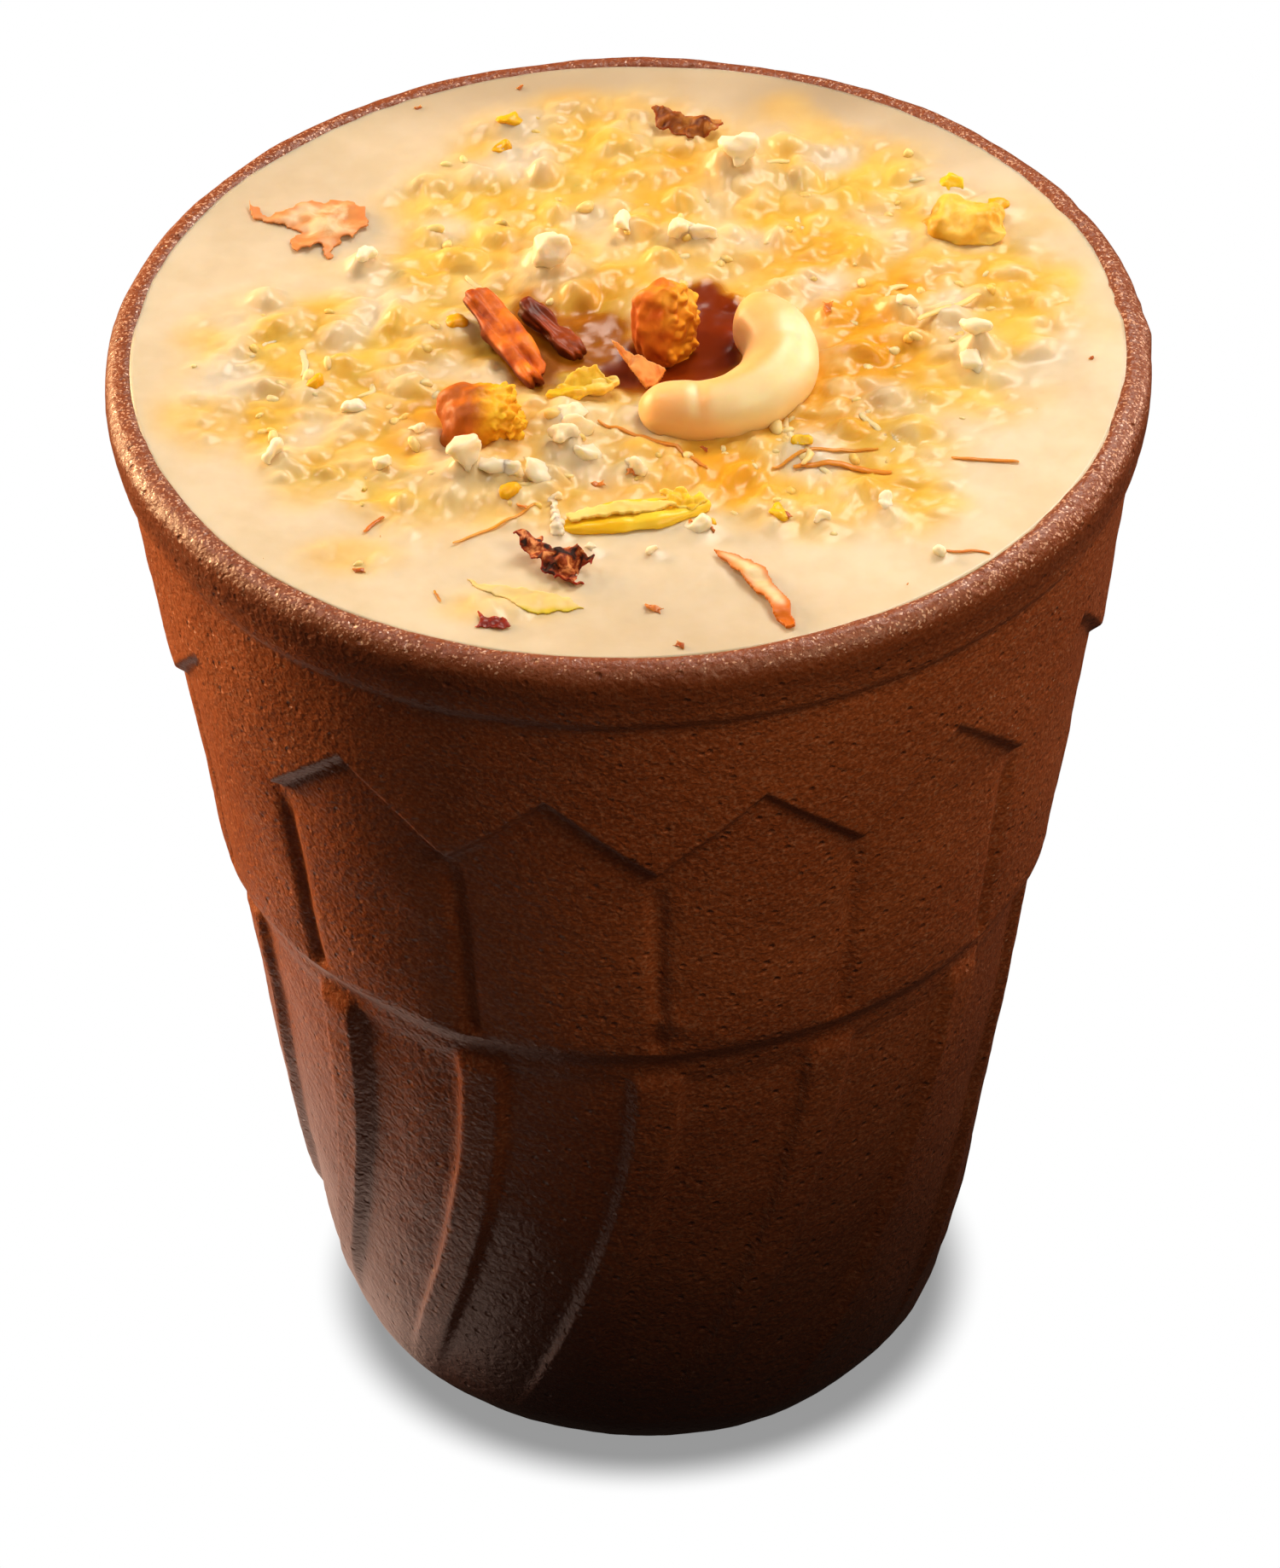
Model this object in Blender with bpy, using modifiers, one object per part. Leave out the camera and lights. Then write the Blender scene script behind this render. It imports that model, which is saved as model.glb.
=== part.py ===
# A moulded clay cup filled with thick yoghurt drink, with nuts, dried fruit and petals on top.
# Metres, +Z up. The origin is on the ground under the middle of the rim, and -Y is the front.
# Sizes below are in millimetres and degrees, and MM turns them to metres.

import bpy
import bmesh
import math
import random
from mathutils import Matrix, Vector, noise

MM = 0.001

# Cup: overall sizes
RIM_RADIUS = 40.0
CUP_HEIGHT = 92.15
RIM_HEIGHT = 90.2            # height of the widest circle of the rim
BASE_RADIUS = 19.3           # flat part of the underside
FLOOR_HEIGHT = 6.0           # top of the floor inside
LEAN = 0.45                  # how far the lower half stands off to -X
UNEVEN = 0.12                # hand-made waviness of the outside

# Relief of the outside: panels under a zigzag edge, ribs that bend towards the base
PANELS = 14
PITCH = 360 / PANELS
FIRST_GROOVE = 2.0           # azimuth of one groove, from the front towards +X
BAND_TOP, BAND_TOP_RADIUS = 84.6, 38.25
BAND_TAPER = 0.115           # loss of radius for each mm down
ZIGZAG_PEAK, ZIGZAG_VALLEY = 77.2, 69.6
ZIGZAG_LEDGE = 1.0           # half the height of the zigzag's sloping edge
PANEL_FOOT, PANEL_FOOT_RADIUS = 50.4, 32.85
PANEL_TAPER = 0.142
PANEL_CROWN = 0.25
GROOVE_HALF, GROOVE_DEPTH = 1.6, 0.8         # degrees, mm
FLUTE_TOP, FLUTE_TOP_RADIUS = 46.2, 31.0
FLUTE_END = 6.5
FLUTE_TAPER = 0.150
RIB_HALF, RIB_FOOT, RIB_HEIGHT = 2.9, 4.4, 0.75
RIB_BEND = 22.0              # degrees that a rib has turned at the end of the flutes
SIDES_PER_PANEL = 6

# Turned stretches of the section: radius, height
INSIDE = [(0, FLOOR_HEIGHT), (16.0, FLOOR_HEIGHT), (20.8, 7.8), (22.6, 13.0), (27.4, 44.5),
          (32.3, 70.0), (35.7, 84.5), (37.4, 91.2)]
LIP = [(37.8, 91.95), (38.5, CUP_HEIGHT), (39.2, 91.7), (39.75, 91.0), (RIM_RADIUS, RIM_HEIGHT),
       (39.95, 89.0), (39.65, 87.8), (39.15, 86.6)]
STEP = [(32.3, 49.4), (31.5, 48.0), (31.15, 47.2)]
BASE = [(23.9, 4.8), (22.85, 3.0), (21.2, 1.2), (BASE_RADIUS, 0.0), (0, 0.0)]
BAND_ROWS = (0.0, 0.5, 1.0)
PANEL_ROWS = (0.0, 0.12, 0.55, 1.0)
FLUTE_ROWS = (0.0, 0.22, 0.44, 0.64, 0.83, 1.0)

# Drink
GAP = 0.35                   # clearance between pieces that touch
DRINK_LEVEL = 91.9
DRINK_SIDES = 42
DRINK_RINGS = (1.0, 0.9, 0.7, 0.5, 0.3, 0.12)
DRINK_SWELL = 0.25           # height of the slow waves on its surface
HOLLOW_PLACE, HOLLOW_RADIUS, HOLLOW_DEPTH = (1.0, 0.5), 6.5, 0.9

# Chopped nuts that break the surface: where they lie thick, and their sizes
BIT_SPACING = 3.75
BIT_RADIUS = (1.1, 1.9)
BIT_CENTRE, BIT_SPREAD = (2.0, 3.5), (33.0, 30.0)
BIT_SEED = 11
NUT_PIECES = [(-3.7, -8.6, 1.7), (-4.3, -12.3, 1.5), (-12.4, -14.6, 1.7), (-9.2, -15.6, 1.4),
              (-5.6, -15.4, 1.2), (-6.1, 11.2, 1.8), (8.6, 24.1, 2.3), (26.5, -1.1, 2.0)]

# Cashew: a bent, tapering body lying half sunk
CASHEW_CENTRE, CASHEW_BEND = (6.0, -2.7), (5.7, 6.2)
CASHEW_FROM, CASHEW_TO = 63.0, -135.0
CASHEW_HEIGHTS = (93.5, 92.6)                # of its middle line at the two ends
CASHEW_ENDS, CASHEW_SWELL = (2.45, 2.15), 0.7

PARTS = "clay_cup_of_lassi"
CUTTERS = "cutters"


def mix(a, b, t):
    return a + (b - a) * t


def smooth(t):
    t = min(max(t, 0.0), 1.0)
    return t * t * (3 - 2 * t)


def lean(height):
    return -LEAN * smooth((62 - height) / 40)


def uneven(azimuth, height):
    a = math.radians(azimuth)
    return UNEVEN * (math.sin(2 * a + height / 23) + 0.6 * math.sin(5 * a - height / 11))


def bend(height):
    """Turn of the ribs at a height, in degrees."""
    run = max(FLUTE_TOP - height, 0.0) / (FLUTE_TOP - FLUTE_END)
    return -RIB_BEND * run * run


def zigzag(offset):
    """Height of the zigzag edge at an angle from the nearest groove."""
    return mix(ZIGZAG_VALLEY, ZIGZAG_PEAK, abs(offset) / (PITCH / 2))


def band_radius(height):
    return BAND_TOP_RADIUS - BAND_TAPER * (BAND_TOP - height)


def panel_radius(height, offset, t):
    side = abs(offset) / (PITCH / 2)
    depth = GROOVE_DEPTH * smooth(t / 0.12) * max(0.0, 1 - abs(offset) / GROOVE_HALF)
    return PANEL_FOOT_RADIUS + PANEL_TAPER * (height - PANEL_FOOT) - PANEL_CROWN * (1 - side) ** 2 - depth


def flute_radius(height, offset):
    run = FLUTE_TOP - height
    radius = FLUTE_TOP_RADIUS - FLUTE_TAPER * run - 0.012 * max(0.0, 14 - height) ** 2
    rise = smooth((RIB_FOOT - abs(offset)) / (RIB_FOOT - RIB_HALF))
    strength = smooth((height - 3.0) / 14)
    return radius + (rise - 0.4) * RIB_HEIGHT * strength


def wall_rows():
    """The section's rows, from the middle of the floor over the lip and down to the base."""
    rows = [("inside", point) for point in INSIDE]
    rows += [("turned", point) for point in LIP]
    rows += [("band", t) for t in BAND_ROWS]
    rows += [("panel", t) for t in PANEL_ROWS]
    rows += [("turned", point) for point in STEP]
    rows += [("flute", t) for t in FLUTE_ROWS]
    rows += [("turned", point) for point in BASE]
    return rows


def column_offset(kind, t, column):
    """Angle of a column from its groove: even on turned rows, gathered at grooves and ribs."""
    even = PITCH / SIDES_PER_PANEL
    near, far = {
        "band": (mix(even, GROOVE_HALF, t), mix(2 * even, 7.0, t)) if kind == "band" else None,
        "panel": (GROOVE_HALF, 7.0),
        "flute": (RIB_HALF, RIB_FOOT),
    }.get(kind) or (even, 2 * even)
    return (0.0, near, far, PITCH / 2, PITCH - far, PITCH - near)[column]


def wall_point(row, column):
    """Radius, height and angle from its groove of one point of the wall."""
    kind, t = row
    offset = column_offset(kind, t, column)
    nearest = min(offset, PITCH - offset)
    if kind in ("inside", "turned"):
        radius, height = t
    elif kind == "band":
        height = mix(BAND_TOP, zigzag(nearest) + ZIGZAG_LEDGE, t)
        radius = band_radius(height)
    elif kind == "panel":
        height = mix(zigzag(nearest) - ZIGZAG_LEDGE, PANEL_FOOT, t)
        radius = panel_radius(height, nearest, t)
    else:
        height = mix(FLUTE_TOP, FLUTE_END, t)
        radius = flute_radius(height, nearest)
    return radius, height, offset


def to_world(radius, height, azimuth):
    """A point at an azimuth from the front (-Y) towards +X, in metres."""
    a = math.radians(azimuth)
    return Vector((radius * math.sin(a) + lean(height), -radius * math.cos(a), height)) * MM


def material(name, colour, roughness):
    mat = bpy.data.materials.new(name)
    mat.use_nodes = True
    shader = mat.node_tree.nodes["Principled BSDF"]
    shader.inputs["Base Color"].default_value = (*colour, 1.0)
    shader.inputs["Roughness"].default_value = roughness
    shader.inputs["Metallic"].default_value = 0.0
    return mat


def add_object(name, mesh, collection, mat=None):
    obj = bpy.data.objects.new(name, mesh)
    bpy.data.collections[collection].objects.link(obj)
    if mat:
        mesh.materials.clear()
        mesh.materials.append(mat)
    if collection == CUTTERS:
        obj.hide_render = True
        obj.display_type = "WIRE"
    return obj


def evaluated_mesh(obj):
    """A new mesh of the object as its modifiers leave it; the object is removed."""
    bpy.context.view_layer.update()
    graph = bpy.context.evaluated_depsgraph_get()
    mesh = bpy.data.meshes.new_from_object(obj.evaluated_get(graph))
    mesh.transform(obj.matrix_world)
    bpy.data.objects.remove(obj)
    return mesh


def turned_mesh(name, profile, sides):
    """A profile of (radius, height) points in mm, turned about Z with a Screw modifier."""
    mesh = bpy.data.meshes.new(name)
    points = [(r * MM, 0.0, h * MM) for r, h in profile]
    mesh.from_pydata(points, [(i, i + 1) for i in range(len(points) - 1)], [])
    obj = add_object(name, mesh, CUTTERS)
    screw = obj.modifiers.new("turn", "SCREW")
    screw.axis = "Z"
    screw.steps = sides
    screw.render_steps = sides
    screw.use_merge_vertices = True
    screw.merge_threshold = 0.00001
    return evaluated_mesh(obj)


def nearest_row(profile, radius, height):
    return min(range(len(profile)), key=lambda i: math.hypot(profile[i][0] - radius, profile[i][1] - height))


def close_and_smooth(mesh, angle):
    bm = bmesh.new()
    bm.from_mesh(mesh)
    bmesh.ops.remove_doubles(bm, verts=bm.verts, dist=0.000002)
    bmesh.ops.recalc_face_normals(bm, faces=bm.faces)
    bm.to_mesh(mesh)
    bm.free()
    mesh.shade_smooth()
    mesh.set_sharp_from_angle(angle=math.radians(angle))


def build_cup():
    """Turn the section, then move each point to its place in the relief."""
    rows = wall_rows()
    profile = [wall_point(row, SIDES_PER_PANEL // 2)[:2] for row in rows]
    sides = PANELS * SIDES_PER_PANEL
    mesh = turned_mesh("cup", profile, sides)
    for vertex in mesh.vertices:
        x, y, z = vertex.co / MM
        row = rows[nearest_row(profile, math.hypot(x, y), z)]
        index = round(math.degrees(math.atan2(y, x)) / (360 / sides)) % sides
        panel, column = divmod(index, SIDES_PER_PANEL)
        radius, height, offset = wall_point(row, column)
        azimuth = FIRST_GROOVE + panel * PITCH + offset
        if row[0] != "inside" and radius > 0:
            azimuth += bend(height)
            radius += uneven(azimuth, height) * smooth((CUP_HEIGHT - height) / 8)
        vertex.co = to_world(radius, height, azimuth)
    close_and_smooth(mesh, 25)
    return add_object("cup", mesh, PARTS, material("fired_clay", (0.17, 0.055, 0.022), 0.55))


def drink_height(x, y):
    """Height of the drink's surface at a place, in mm."""
    wave = noise.noise(Vector((x / 9, y / 9, 0.7)))
    away = math.hypot(x - HOLLOW_PLACE[0], y - HOLLOW_PLACE[1]) / HOLLOW_RADIUS
    edge = smooth((36.5 - math.hypot(x, y)) / 5)
    return DRINK_LEVEL + DRINK_SWELL * wave * edge - HOLLOW_DEPTH * (1 - smooth(away))


def build_drink_core():
    """The drink as it fills the cup, a gap inside the wall."""
    rim = INSIDE[-1][0] - GAP
    top = [(rim * ring, DRINK_LEVEL) for ring in DRINK_RINGS]
    side = [(radius - GAP, height + GAP * (height < 8)) for radius, height in reversed(INSIDE[1:-1])]
    profile = [(0, DRINK_LEVEL)] + top[::-1] + side + [(0, FLOOR_HEIGHT + GAP)]
    mesh = turned_mesh("lassi", profile, DRINK_SIDES)
    for vertex in mesh.vertices:
        x, y, z = vertex.co / MM
        if z > DRINK_LEVEL - 0.01:
            z = drink_height(x, y)
        vertex.co = Vector((x + lean(z), y, z)) * MM
    close_and_smooth(mesh, 30)
    return add_object("lassi", mesh, PARTS, material("lassi", (0.85, 0.66, 0.36), 0.35))


def lump_mesh(name, place, radii, turn, subdivisions, rough, seed):
    """An uneven rounded lump: an icosphere stretched, turned and pushed about."""
    bm = bmesh.new()
    bmesh.ops.create_icosphere(bm, subdivisions=subdivisions, radius=1.0)
    for vertex in bm.verts:
        push = noise.noise(vertex.co * 1.6 + Vector((seed * 3.7, seed * 1.3, 0)))
        fine = noise.noise(vertex.co * 4.1 + Vector((0, seed * 2.1, seed)))
        vertex.co *= 1 + rough * (push + 0.5 * fine)
    shape = Matrix.Translation(Vector(place) * MM)
    shape @= Matrix.Rotation(math.radians(turn[0]), 4, "Z") @ Matrix.Rotation(math.radians(turn[1]), 4, "X")
    shape @= Matrix.Diagonal((*(Vector(radii) * MM), 1.0))
    bm.transform(shape)
    mesh = bpy.data.meshes.new(name)
    bm.to_mesh(mesh)
    bm.free()
    return mesh


def build_cashew():
    """A tube along an arc, thickest in the middle, with rounded ends."""
    curve = bpy.data.curves.new("cashew", "CURVE")
    curve.dimensions = "3D"
    curve.bevel_depth = MM
    curve.bevel_resolution = 4
    curve.use_fill_caps = True
    steps = 16
    spline = curve.splines.new("POLY")
    spline.points.add(steps)
    for i in range(steps + 1):
        t = 0.5 - 0.5 * math.cos(math.pi * i / steps)
        angle = math.radians(mix(CASHEW_FROM, CASHEW_TO, t))
        x = CASHEW_CENTRE[0] + CASHEW_BEND[0] * math.cos(angle)
        y = CASHEW_CENTRE[1] + CASHEW_BEND[1] * math.sin(angle)
        spline.points[i].co = (x * MM, y * MM, mix(*CASHEW_HEIGHTS, t) * MM, 1)
        body = mix(*CASHEW_ENDS, t) + CASHEW_SWELL * math.sin(math.pi * t ** 0.8)
        end = 1 - min(t, 1 - t, 0.1) / 0.1
        spline.points[i].radius = body * math.sqrt(max(0.03, 1 - end * end))
    obj = bpy.data.objects.new("cashew_curve", curve)
    bpy.data.collections[CUTTERS].objects.link(obj)
    mesh = evaluated_mesh(obj)
    close_and_smooth(mesh, 60)
    return add_object("cashew", mesh, PARTS, material("cashew", (0.88, 0.60, 0.29), 0.42))


def build_lump(name, place, radii, turn, rough, seed, colour):
    mesh = lump_mesh(name, place, radii, turn, 3, rough, seed)
    close_and_smooth(mesh, 50)
    return add_object(name, mesh, PARTS, material(name, colour, 0.45))


def build_blade(name, start, end, width, thickness, shape, curl, colour):
    """A flat piece from start to end: its outline swells by the shape rule, and it curls up."""
    steps = 9
    start, end = Vector(start), Vector(end)
    along = (end - start).normalized()
    across = Vector((-along.y, along.x, 0)).normalized()
    upward = along.cross(across) * (1 if along.cross(across).z > 0 else -1)
    bm = bmesh.new()
    layers = []
    for lift in (-0.5, 0.5):
        layer = []
        for i in range(steps):
            t = i / (steps - 1)
            low, high = shape(t)
            row = []
            for s in (low, (low + high) / 2, high):
                sag = curl * ((2 * t - 1) ** 2 + 0.6 * s * s)
                point = start.lerp(end, t) + across * (s * width / 2) + upward * (sag + lift * thickness)
                row.append(bm.verts.new(point * MM))
            layer.append(row)
        layers.append(layer)
    bottom, top = layers
    for i in range(steps - 1):
        for j in range(2):
            bm.faces.new((top[i][j], top[i + 1][j], top[i + 1][j + 1], top[i][j + 1]))
            bm.faces.new((bottom[i][j], bottom[i][j + 1], bottom[i + 1][j + 1], bottom[i + 1][j]))
        for j in (0, 2):
            bm.faces.new((top[i][j], bottom[i][j], bottom[i + 1][j], top[i + 1][j]))
    for i in (0, steps - 1):
        for j in range(2):
            bm.faces.new((top[i][j], top[i][j + 1], bottom[i][j + 1], bottom[i][j]))
    bmesh.ops.recalc_face_normals(bm, faces=bm.faces)
    mesh = bpy.data.meshes.new(name)
    bm.to_mesh(mesh)
    bm.free()
    mesh.shade_smooth()
    mesh.set_sharp_from_angle(angle=math.radians(40))
    return add_object(name, mesh, PARTS, material(name, colour, 0.5))


def lens(t):
    """Outline of a sliver: pointed at both ends."""
    half = mix(0.22, 1.0, math.sin(math.pi * t) ** 0.75)
    return -half, half


def wedge(t):
    """Outline of a chip: narrow at its start, broad at its end."""
    return -0.18 - 0.8 * t, 0.18 + 0.7 * t


def stick(t):
    """Outline of a split nut: even along its length, rounded at the ends."""
    half = 0.62 + 0.38 * math.sin(math.pi * t) ** 0.5
    return -half, half * 0.9


def torn(t):
    """Outline of a torn petal or flake: narrow at its start, with ragged sides."""
    swell = mix(0.25, 0.95, smooth(1.6 * t)) * mix(1.0, 0.7, t)
    return -swell - 0.12 * math.sin(11 * t), swell * 0.8 + 0.2 * math.sin(8 * t + 1.0)


def build_garnish():
    """The loose pieces on top, each its own solid."""
    level = DRINK_LEVEL
    orange, brown, yellow = (0.72, 0.27, 0.03), (0.42, 0.12, 0.03), (0.74, 0.50, 0.05)
    pieces = [build_cashew()]
    pieces.append(build_lump("fruit_piece_back", (2.9, 1.0, level + 1.6), (2.9, 2.7, 4.3), (20, 0), 0.22, 1, orange))
    pieces.append(build_lump("fruit_piece_front", (-11.1, -9.2, level + 0.8), (3.6, 3.0, 2.9), (10, 0), 0.22, 2,
                             orange))
    pieces.append(build_lump("fruit_lump_right", (26.3, 15.6, level + 0.2), (3.7, 2.8, 1.9), (-25, 0), 0.25, 3,
                             yellow))
    pieces.append(build_blade("nut_stick_long", (-11.5, 5.4, level + 1.9), (-6.6, -4.4, level + 0.4), 3.2, 1.7,
                              stick, 0.25, brown))
    pieces.append(build_blade("nut_stick_short", (-7.7, 4.9, level + 1.2), (-3.6, -0.6, level + 0.2), 2.4, 1.3,
                              stick, 0.15, brown))
    pieces.append(build_blade("almond_chip", (-1.9, -1.0, level + 2.6), (0.9, -3.1, level + 0.6), 3.6, 1.0,
                              wedge, 0.1, (0.72, 0.36, 0.16)))
    pieces.append(build_blade("pistachio_sliver_middle", (-6.2, -5.9, level + 0.4), (-0.6, -4.9, level + 0.9),
                              2.2, 0.8, lens, 0.15, yellow))
    pieces.append(build_blade("pistachio_sliver_long", (-5.7, -22.0, level + 0.1), (6.0, -19.6, level + 0.3),
                              3.8, 0.9, lens, 0.1, yellow))
    pieces.append(build_blade("pistachio_sliver_pale", (-13.3, -27.9, level), (-3.0, -31.4, level),
                              3.0, 0.8, lens, 0.1, (0.80, 0.62, 0.20)))
    pieces.append(build_blade("petal_front", (-8.7, -23.5, level + 0.4), (-2.9, -28.4, level + 0.3), 4.0, 0.7,
                              torn, 0.5, (0.27, 0.04, 0.02)))
    pieces.append(build_blade("almond_flake_front", (6.1, -25.4, level + 0.3), (11.4, -34.2, level + 0.2),
                              3.8, 0.6, lens, 0.2, (0.80, 0.50, 0.22)))
    pieces.append(build_blade("fruit_flake_back", (-28.8, 19.2, level + 0.2), (-19.9, 15.4, level + 0.4),
                              5.6, 0.8, torn, 0.3, (0.62, 0.28, 0.12)))
    pieces.append(build_blade("petal_back", (1.9, 30.4, level + 0.4), (7.9, 28.6, level + 0.5), 3.2, 0.8,
                              torn, 0.4, (0.35, 0.13, 0.04)))
    return pieces


def clear_of(pieces, x, y, radius):
    """True where a bit of that radius, in mm, is clear of the boxes of the loose pieces."""
    for piece in pieces:
        points = [vertex.co / MM for vertex in piece.data.vertices]
        if any(math.hypot(p.x - x, p.y - y) < radius + 0.5 for p in points):
            return False
    return True


def bit_places(pieces):
    """Places and radii of the chopped nuts: an uneven grid, thick in the middle and thin outside."""
    rng = random.Random(BIT_SEED)
    places = list(NUT_PIECES)
    steps = int(36 / BIT_SPACING)
    for i in range(-steps, steps + 1):
        for j in range(-steps, steps + 1):
            x = (i + 0.5 * (j % 2) + rng.uniform(-0.35, 0.35)) * BIT_SPACING
            y = (j + rng.uniform(-0.35, 0.35)) * BIT_SPACING
            radius = rng.uniform(*BIT_RADIUS)
            chance = rng.random()
            away = math.hypot((x - BIT_CENTRE[0]) / BIT_SPREAD[0], (y - BIT_CENTRE[1]) / BIT_SPREAD[1])
            if math.hypot(x, y) > 33.0 or chance > 0.97 - smooth((away - 0.6) / 0.5):
                continue
            if all(math.hypot(x - a, y - b) > radius + c + 0.4 for a, b, c in places):
                places.append((x, y, radius))
    return [place for place in places if clear_of(pieces, *place)]


def boolean(obj, operation, collection, solver):
    modifier = obj.modifiers.new(operation.lower(), "BOOLEAN")
    modifier.operation = operation
    modifier.operand_type = "COLLECTION"
    modifier.collection = collection
    modifier.solver = solver
    mat = obj.data.materials[0]
    name = obj.name
    mesh = evaluated_mesh(obj)
    mesh.name = name
    for other in list(collection.objects):
        bpy.data.objects.remove(other)
    bpy.data.collections.remove(collection)
    return add_object(name, mesh, PARTS, mat)


def keep_largest_body(mesh):
    """Drop loose scraps that the cutting left."""
    bm = bmesh.new()
    bm.from_mesh(mesh)
    bmesh.ops.remove_doubles(bm, verts=bm.verts, dist=0.000005)
    bmesh.ops.dissolve_degenerate(bm, edges=bm.edges, dist=0.000005)
    todo, bodies = set(bm.verts), []
    while todo:
        body, front = set(), [todo.pop()]
        while front:
            vertex = front.pop()
            body.add(vertex)
            for edge in vertex.link_edges:
                other = edge.other_vert(vertex)
                if other in todo:
                    todo.remove(other)
                    front.append(other)
        bodies.append(body)
    largest = max(bodies, key=len)
    scraps = [vertex for body in bodies if body is not largest for vertex in body]
    bmesh.ops.delete(bm, geom=scraps, context="VERTS")
    bm.to_mesh(mesh)
    bm.free()


def build_drink(pieces):
    """The drink with its chopped nuts fused on, cut round the loose pieces."""
    drink = build_drink_core()
    bits = bpy.data.collections.new("bits")
    bpy.data.collections[CUTTERS].children.link(bits)
    rng = random.Random(BIT_SEED)
    for number, (x, y, radius) in enumerate(bit_places(pieces)):
        radii = (radius * rng.uniform(0.95, 1.3), radius * rng.uniform(0.7, 1.0), radius * rng.uniform(0.6, 0.85))
        place = (x, y, drink_height(x, y) + radii[2] * 0.1)
        mesh = lump_mesh("bit", place, radii, (rng.uniform(0, 180), 0), 1, 0.3, number)
        bits.objects.link(bpy.data.objects.new("bit", mesh))
    drink = boolean(drink, "UNION", bits, "EXACT")
    room = bpy.data.collections.new("room")
    bpy.data.collections[CUTTERS].children.link(room)
    for piece in pieces:
        cutter = bpy.data.objects.new(piece.name + "_room", piece.data.copy())
        room.objects.link(cutter)
        swell = cutter.modifiers.new("swell", "DISPLACE")
        swell.mid_level = 0.0
        swell.strength = GAP * MM
    drink = boolean(drink, "DIFFERENCE", room, "EXACT")
    keep_largest_body(drink.data)
    drink.data.shade_smooth()
    drink.data.set_sharp_from_angle(angle=math.radians(30))
    return drink


def main():
    for obj in list(bpy.data.objects):
        bpy.data.objects.remove(obj)
    for name in (PARTS, CUTTERS):
        bpy.context.scene.collection.children.link(bpy.data.collections.new(name))
    build_cup()
    build_drink(build_garnish())


main()
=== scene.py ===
# Clay cup of lassi with a cashew, chopped nuts, dried fruit and petals on top.
import math
import random

import bpy
from mathutils import Matrix, Vector, noise
from mathutils.bvhtree import BVHTree


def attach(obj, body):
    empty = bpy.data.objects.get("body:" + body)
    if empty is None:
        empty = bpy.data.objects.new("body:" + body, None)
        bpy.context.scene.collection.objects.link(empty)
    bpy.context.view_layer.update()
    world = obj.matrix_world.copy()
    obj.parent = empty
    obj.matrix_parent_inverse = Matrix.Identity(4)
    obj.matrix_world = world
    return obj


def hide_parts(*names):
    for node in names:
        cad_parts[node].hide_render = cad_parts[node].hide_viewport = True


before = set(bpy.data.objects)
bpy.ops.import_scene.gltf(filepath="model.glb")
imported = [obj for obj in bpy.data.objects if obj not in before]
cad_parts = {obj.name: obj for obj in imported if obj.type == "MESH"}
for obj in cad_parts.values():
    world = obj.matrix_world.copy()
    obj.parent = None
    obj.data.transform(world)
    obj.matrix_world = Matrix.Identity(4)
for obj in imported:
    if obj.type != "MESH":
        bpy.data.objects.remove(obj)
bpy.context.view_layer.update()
noise.seed_set(7)  # the vector noise is the same at every run
bpy.ops.object.select_all(action="DESELECT")
mm = 0.001


def mix(a, b, t):
    return a + (b - a) * t


def smooth(t):
    t = min(max(t, 0.0), 1.0)
    return t * t * (3 - 2 * t)


def hexColour(text):  # sRGB to linear
    channels = [int(text[i:i + 2], 16) / 255 for i in (1, 3, 5)]
    linear = [c / 12.92 if c <= 0.04045 else ((c + 0.055) / 1.055) ** 2.4 for c in channels]
    return (*linear, 1.0)


def addNode(tree, kind, settings=None, links=None):
    node = tree.nodes.new("ShaderNode" + kind)
    for key, value in (settings or {}).items():
        if key == "stops":  # places and hex colours of a colour ramp
            ramp = node.color_ramp
            while len(ramp.elements) < len(value):
                ramp.elements.new(0.5)
            for element, (place, colour) in zip(ramp.elements, value):
                element.position = place
                element.color = hexColour(colour)
        elif isinstance(key, str) and hasattr(node, key):
            setattr(node, key, value)
        else:
            socket = node.inputs[key]
            socket.default_value = hexColour(value) if isinstance(value, str) else value
    for key, source in (links or {}).items():
        tree.links.new(source, node.inputs[key])
    return node


def startMaterial(name, settings):
    material = bpy.data.materials.new(name)
    material.use_nodes = True
    tree = material.node_tree
    shader = tree.nodes["Principled BSDF"]
    for key, value in settings.items():
        shader.inputs[key].default_value = hexColour(value) if isinstance(value, str) else value
    coords = addNode(tree, "TexCoord")
    return material, tree, shader, coords.outputs["Object"]


def finishPiece(piece, material, slot, *nodes):
    piece.data.materials.clear()
    piece.data.materials.append(material)
    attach(piece, "root")
    if nodes:
        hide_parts(*nodes)


def activate(piece):
    bpy.ops.object.select_all(action="DESELECT")
    piece.select_set(True)
    bpy.context.view_layer.objects.active = piece


def copyOfNode(node, name):  # the solid stays as it is, its copy gets shared points and four-sided faces
    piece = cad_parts[node].copy()
    piece.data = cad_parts[node].data.copy()
    piece.name = name
    piece.data.name = name
    bpy.context.scene.collection.objects.link(piece)
    activate(piece)
    bpy.ops.object.mode_set(mode="EDIT")
    bpy.ops.mesh.select_all(action="SELECT")
    bpy.ops.mesh.remove_doubles(threshold=0.000002)
    bpy.ops.mesh.tris_convert_to_quads()
    bpy.ops.object.mode_set(mode="OBJECT")
    return piece


def joinPieces(pieces, name):
    activate(pieces[0])
    for piece in pieces:
        piece.select_set(True)
    bpy.ops.object.join()
    joined = bpy.context.object
    joined.name = name
    joined.data.name = name
    bpy.ops.object.transform_apply(location=True, rotation=True, scale=True)
    return joined


def pushPoints(piece, rise):  # moves each point along its normal by rise(place, normal), in mm
    normals = [vertex.normal.copy() for vertex in piece.data.vertices]
    for vertex, normal in zip(piece.data.vertices, normals):
        vertex.co += normal * rise(vertex.co, normal) * mm
    piece.data.update()


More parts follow.
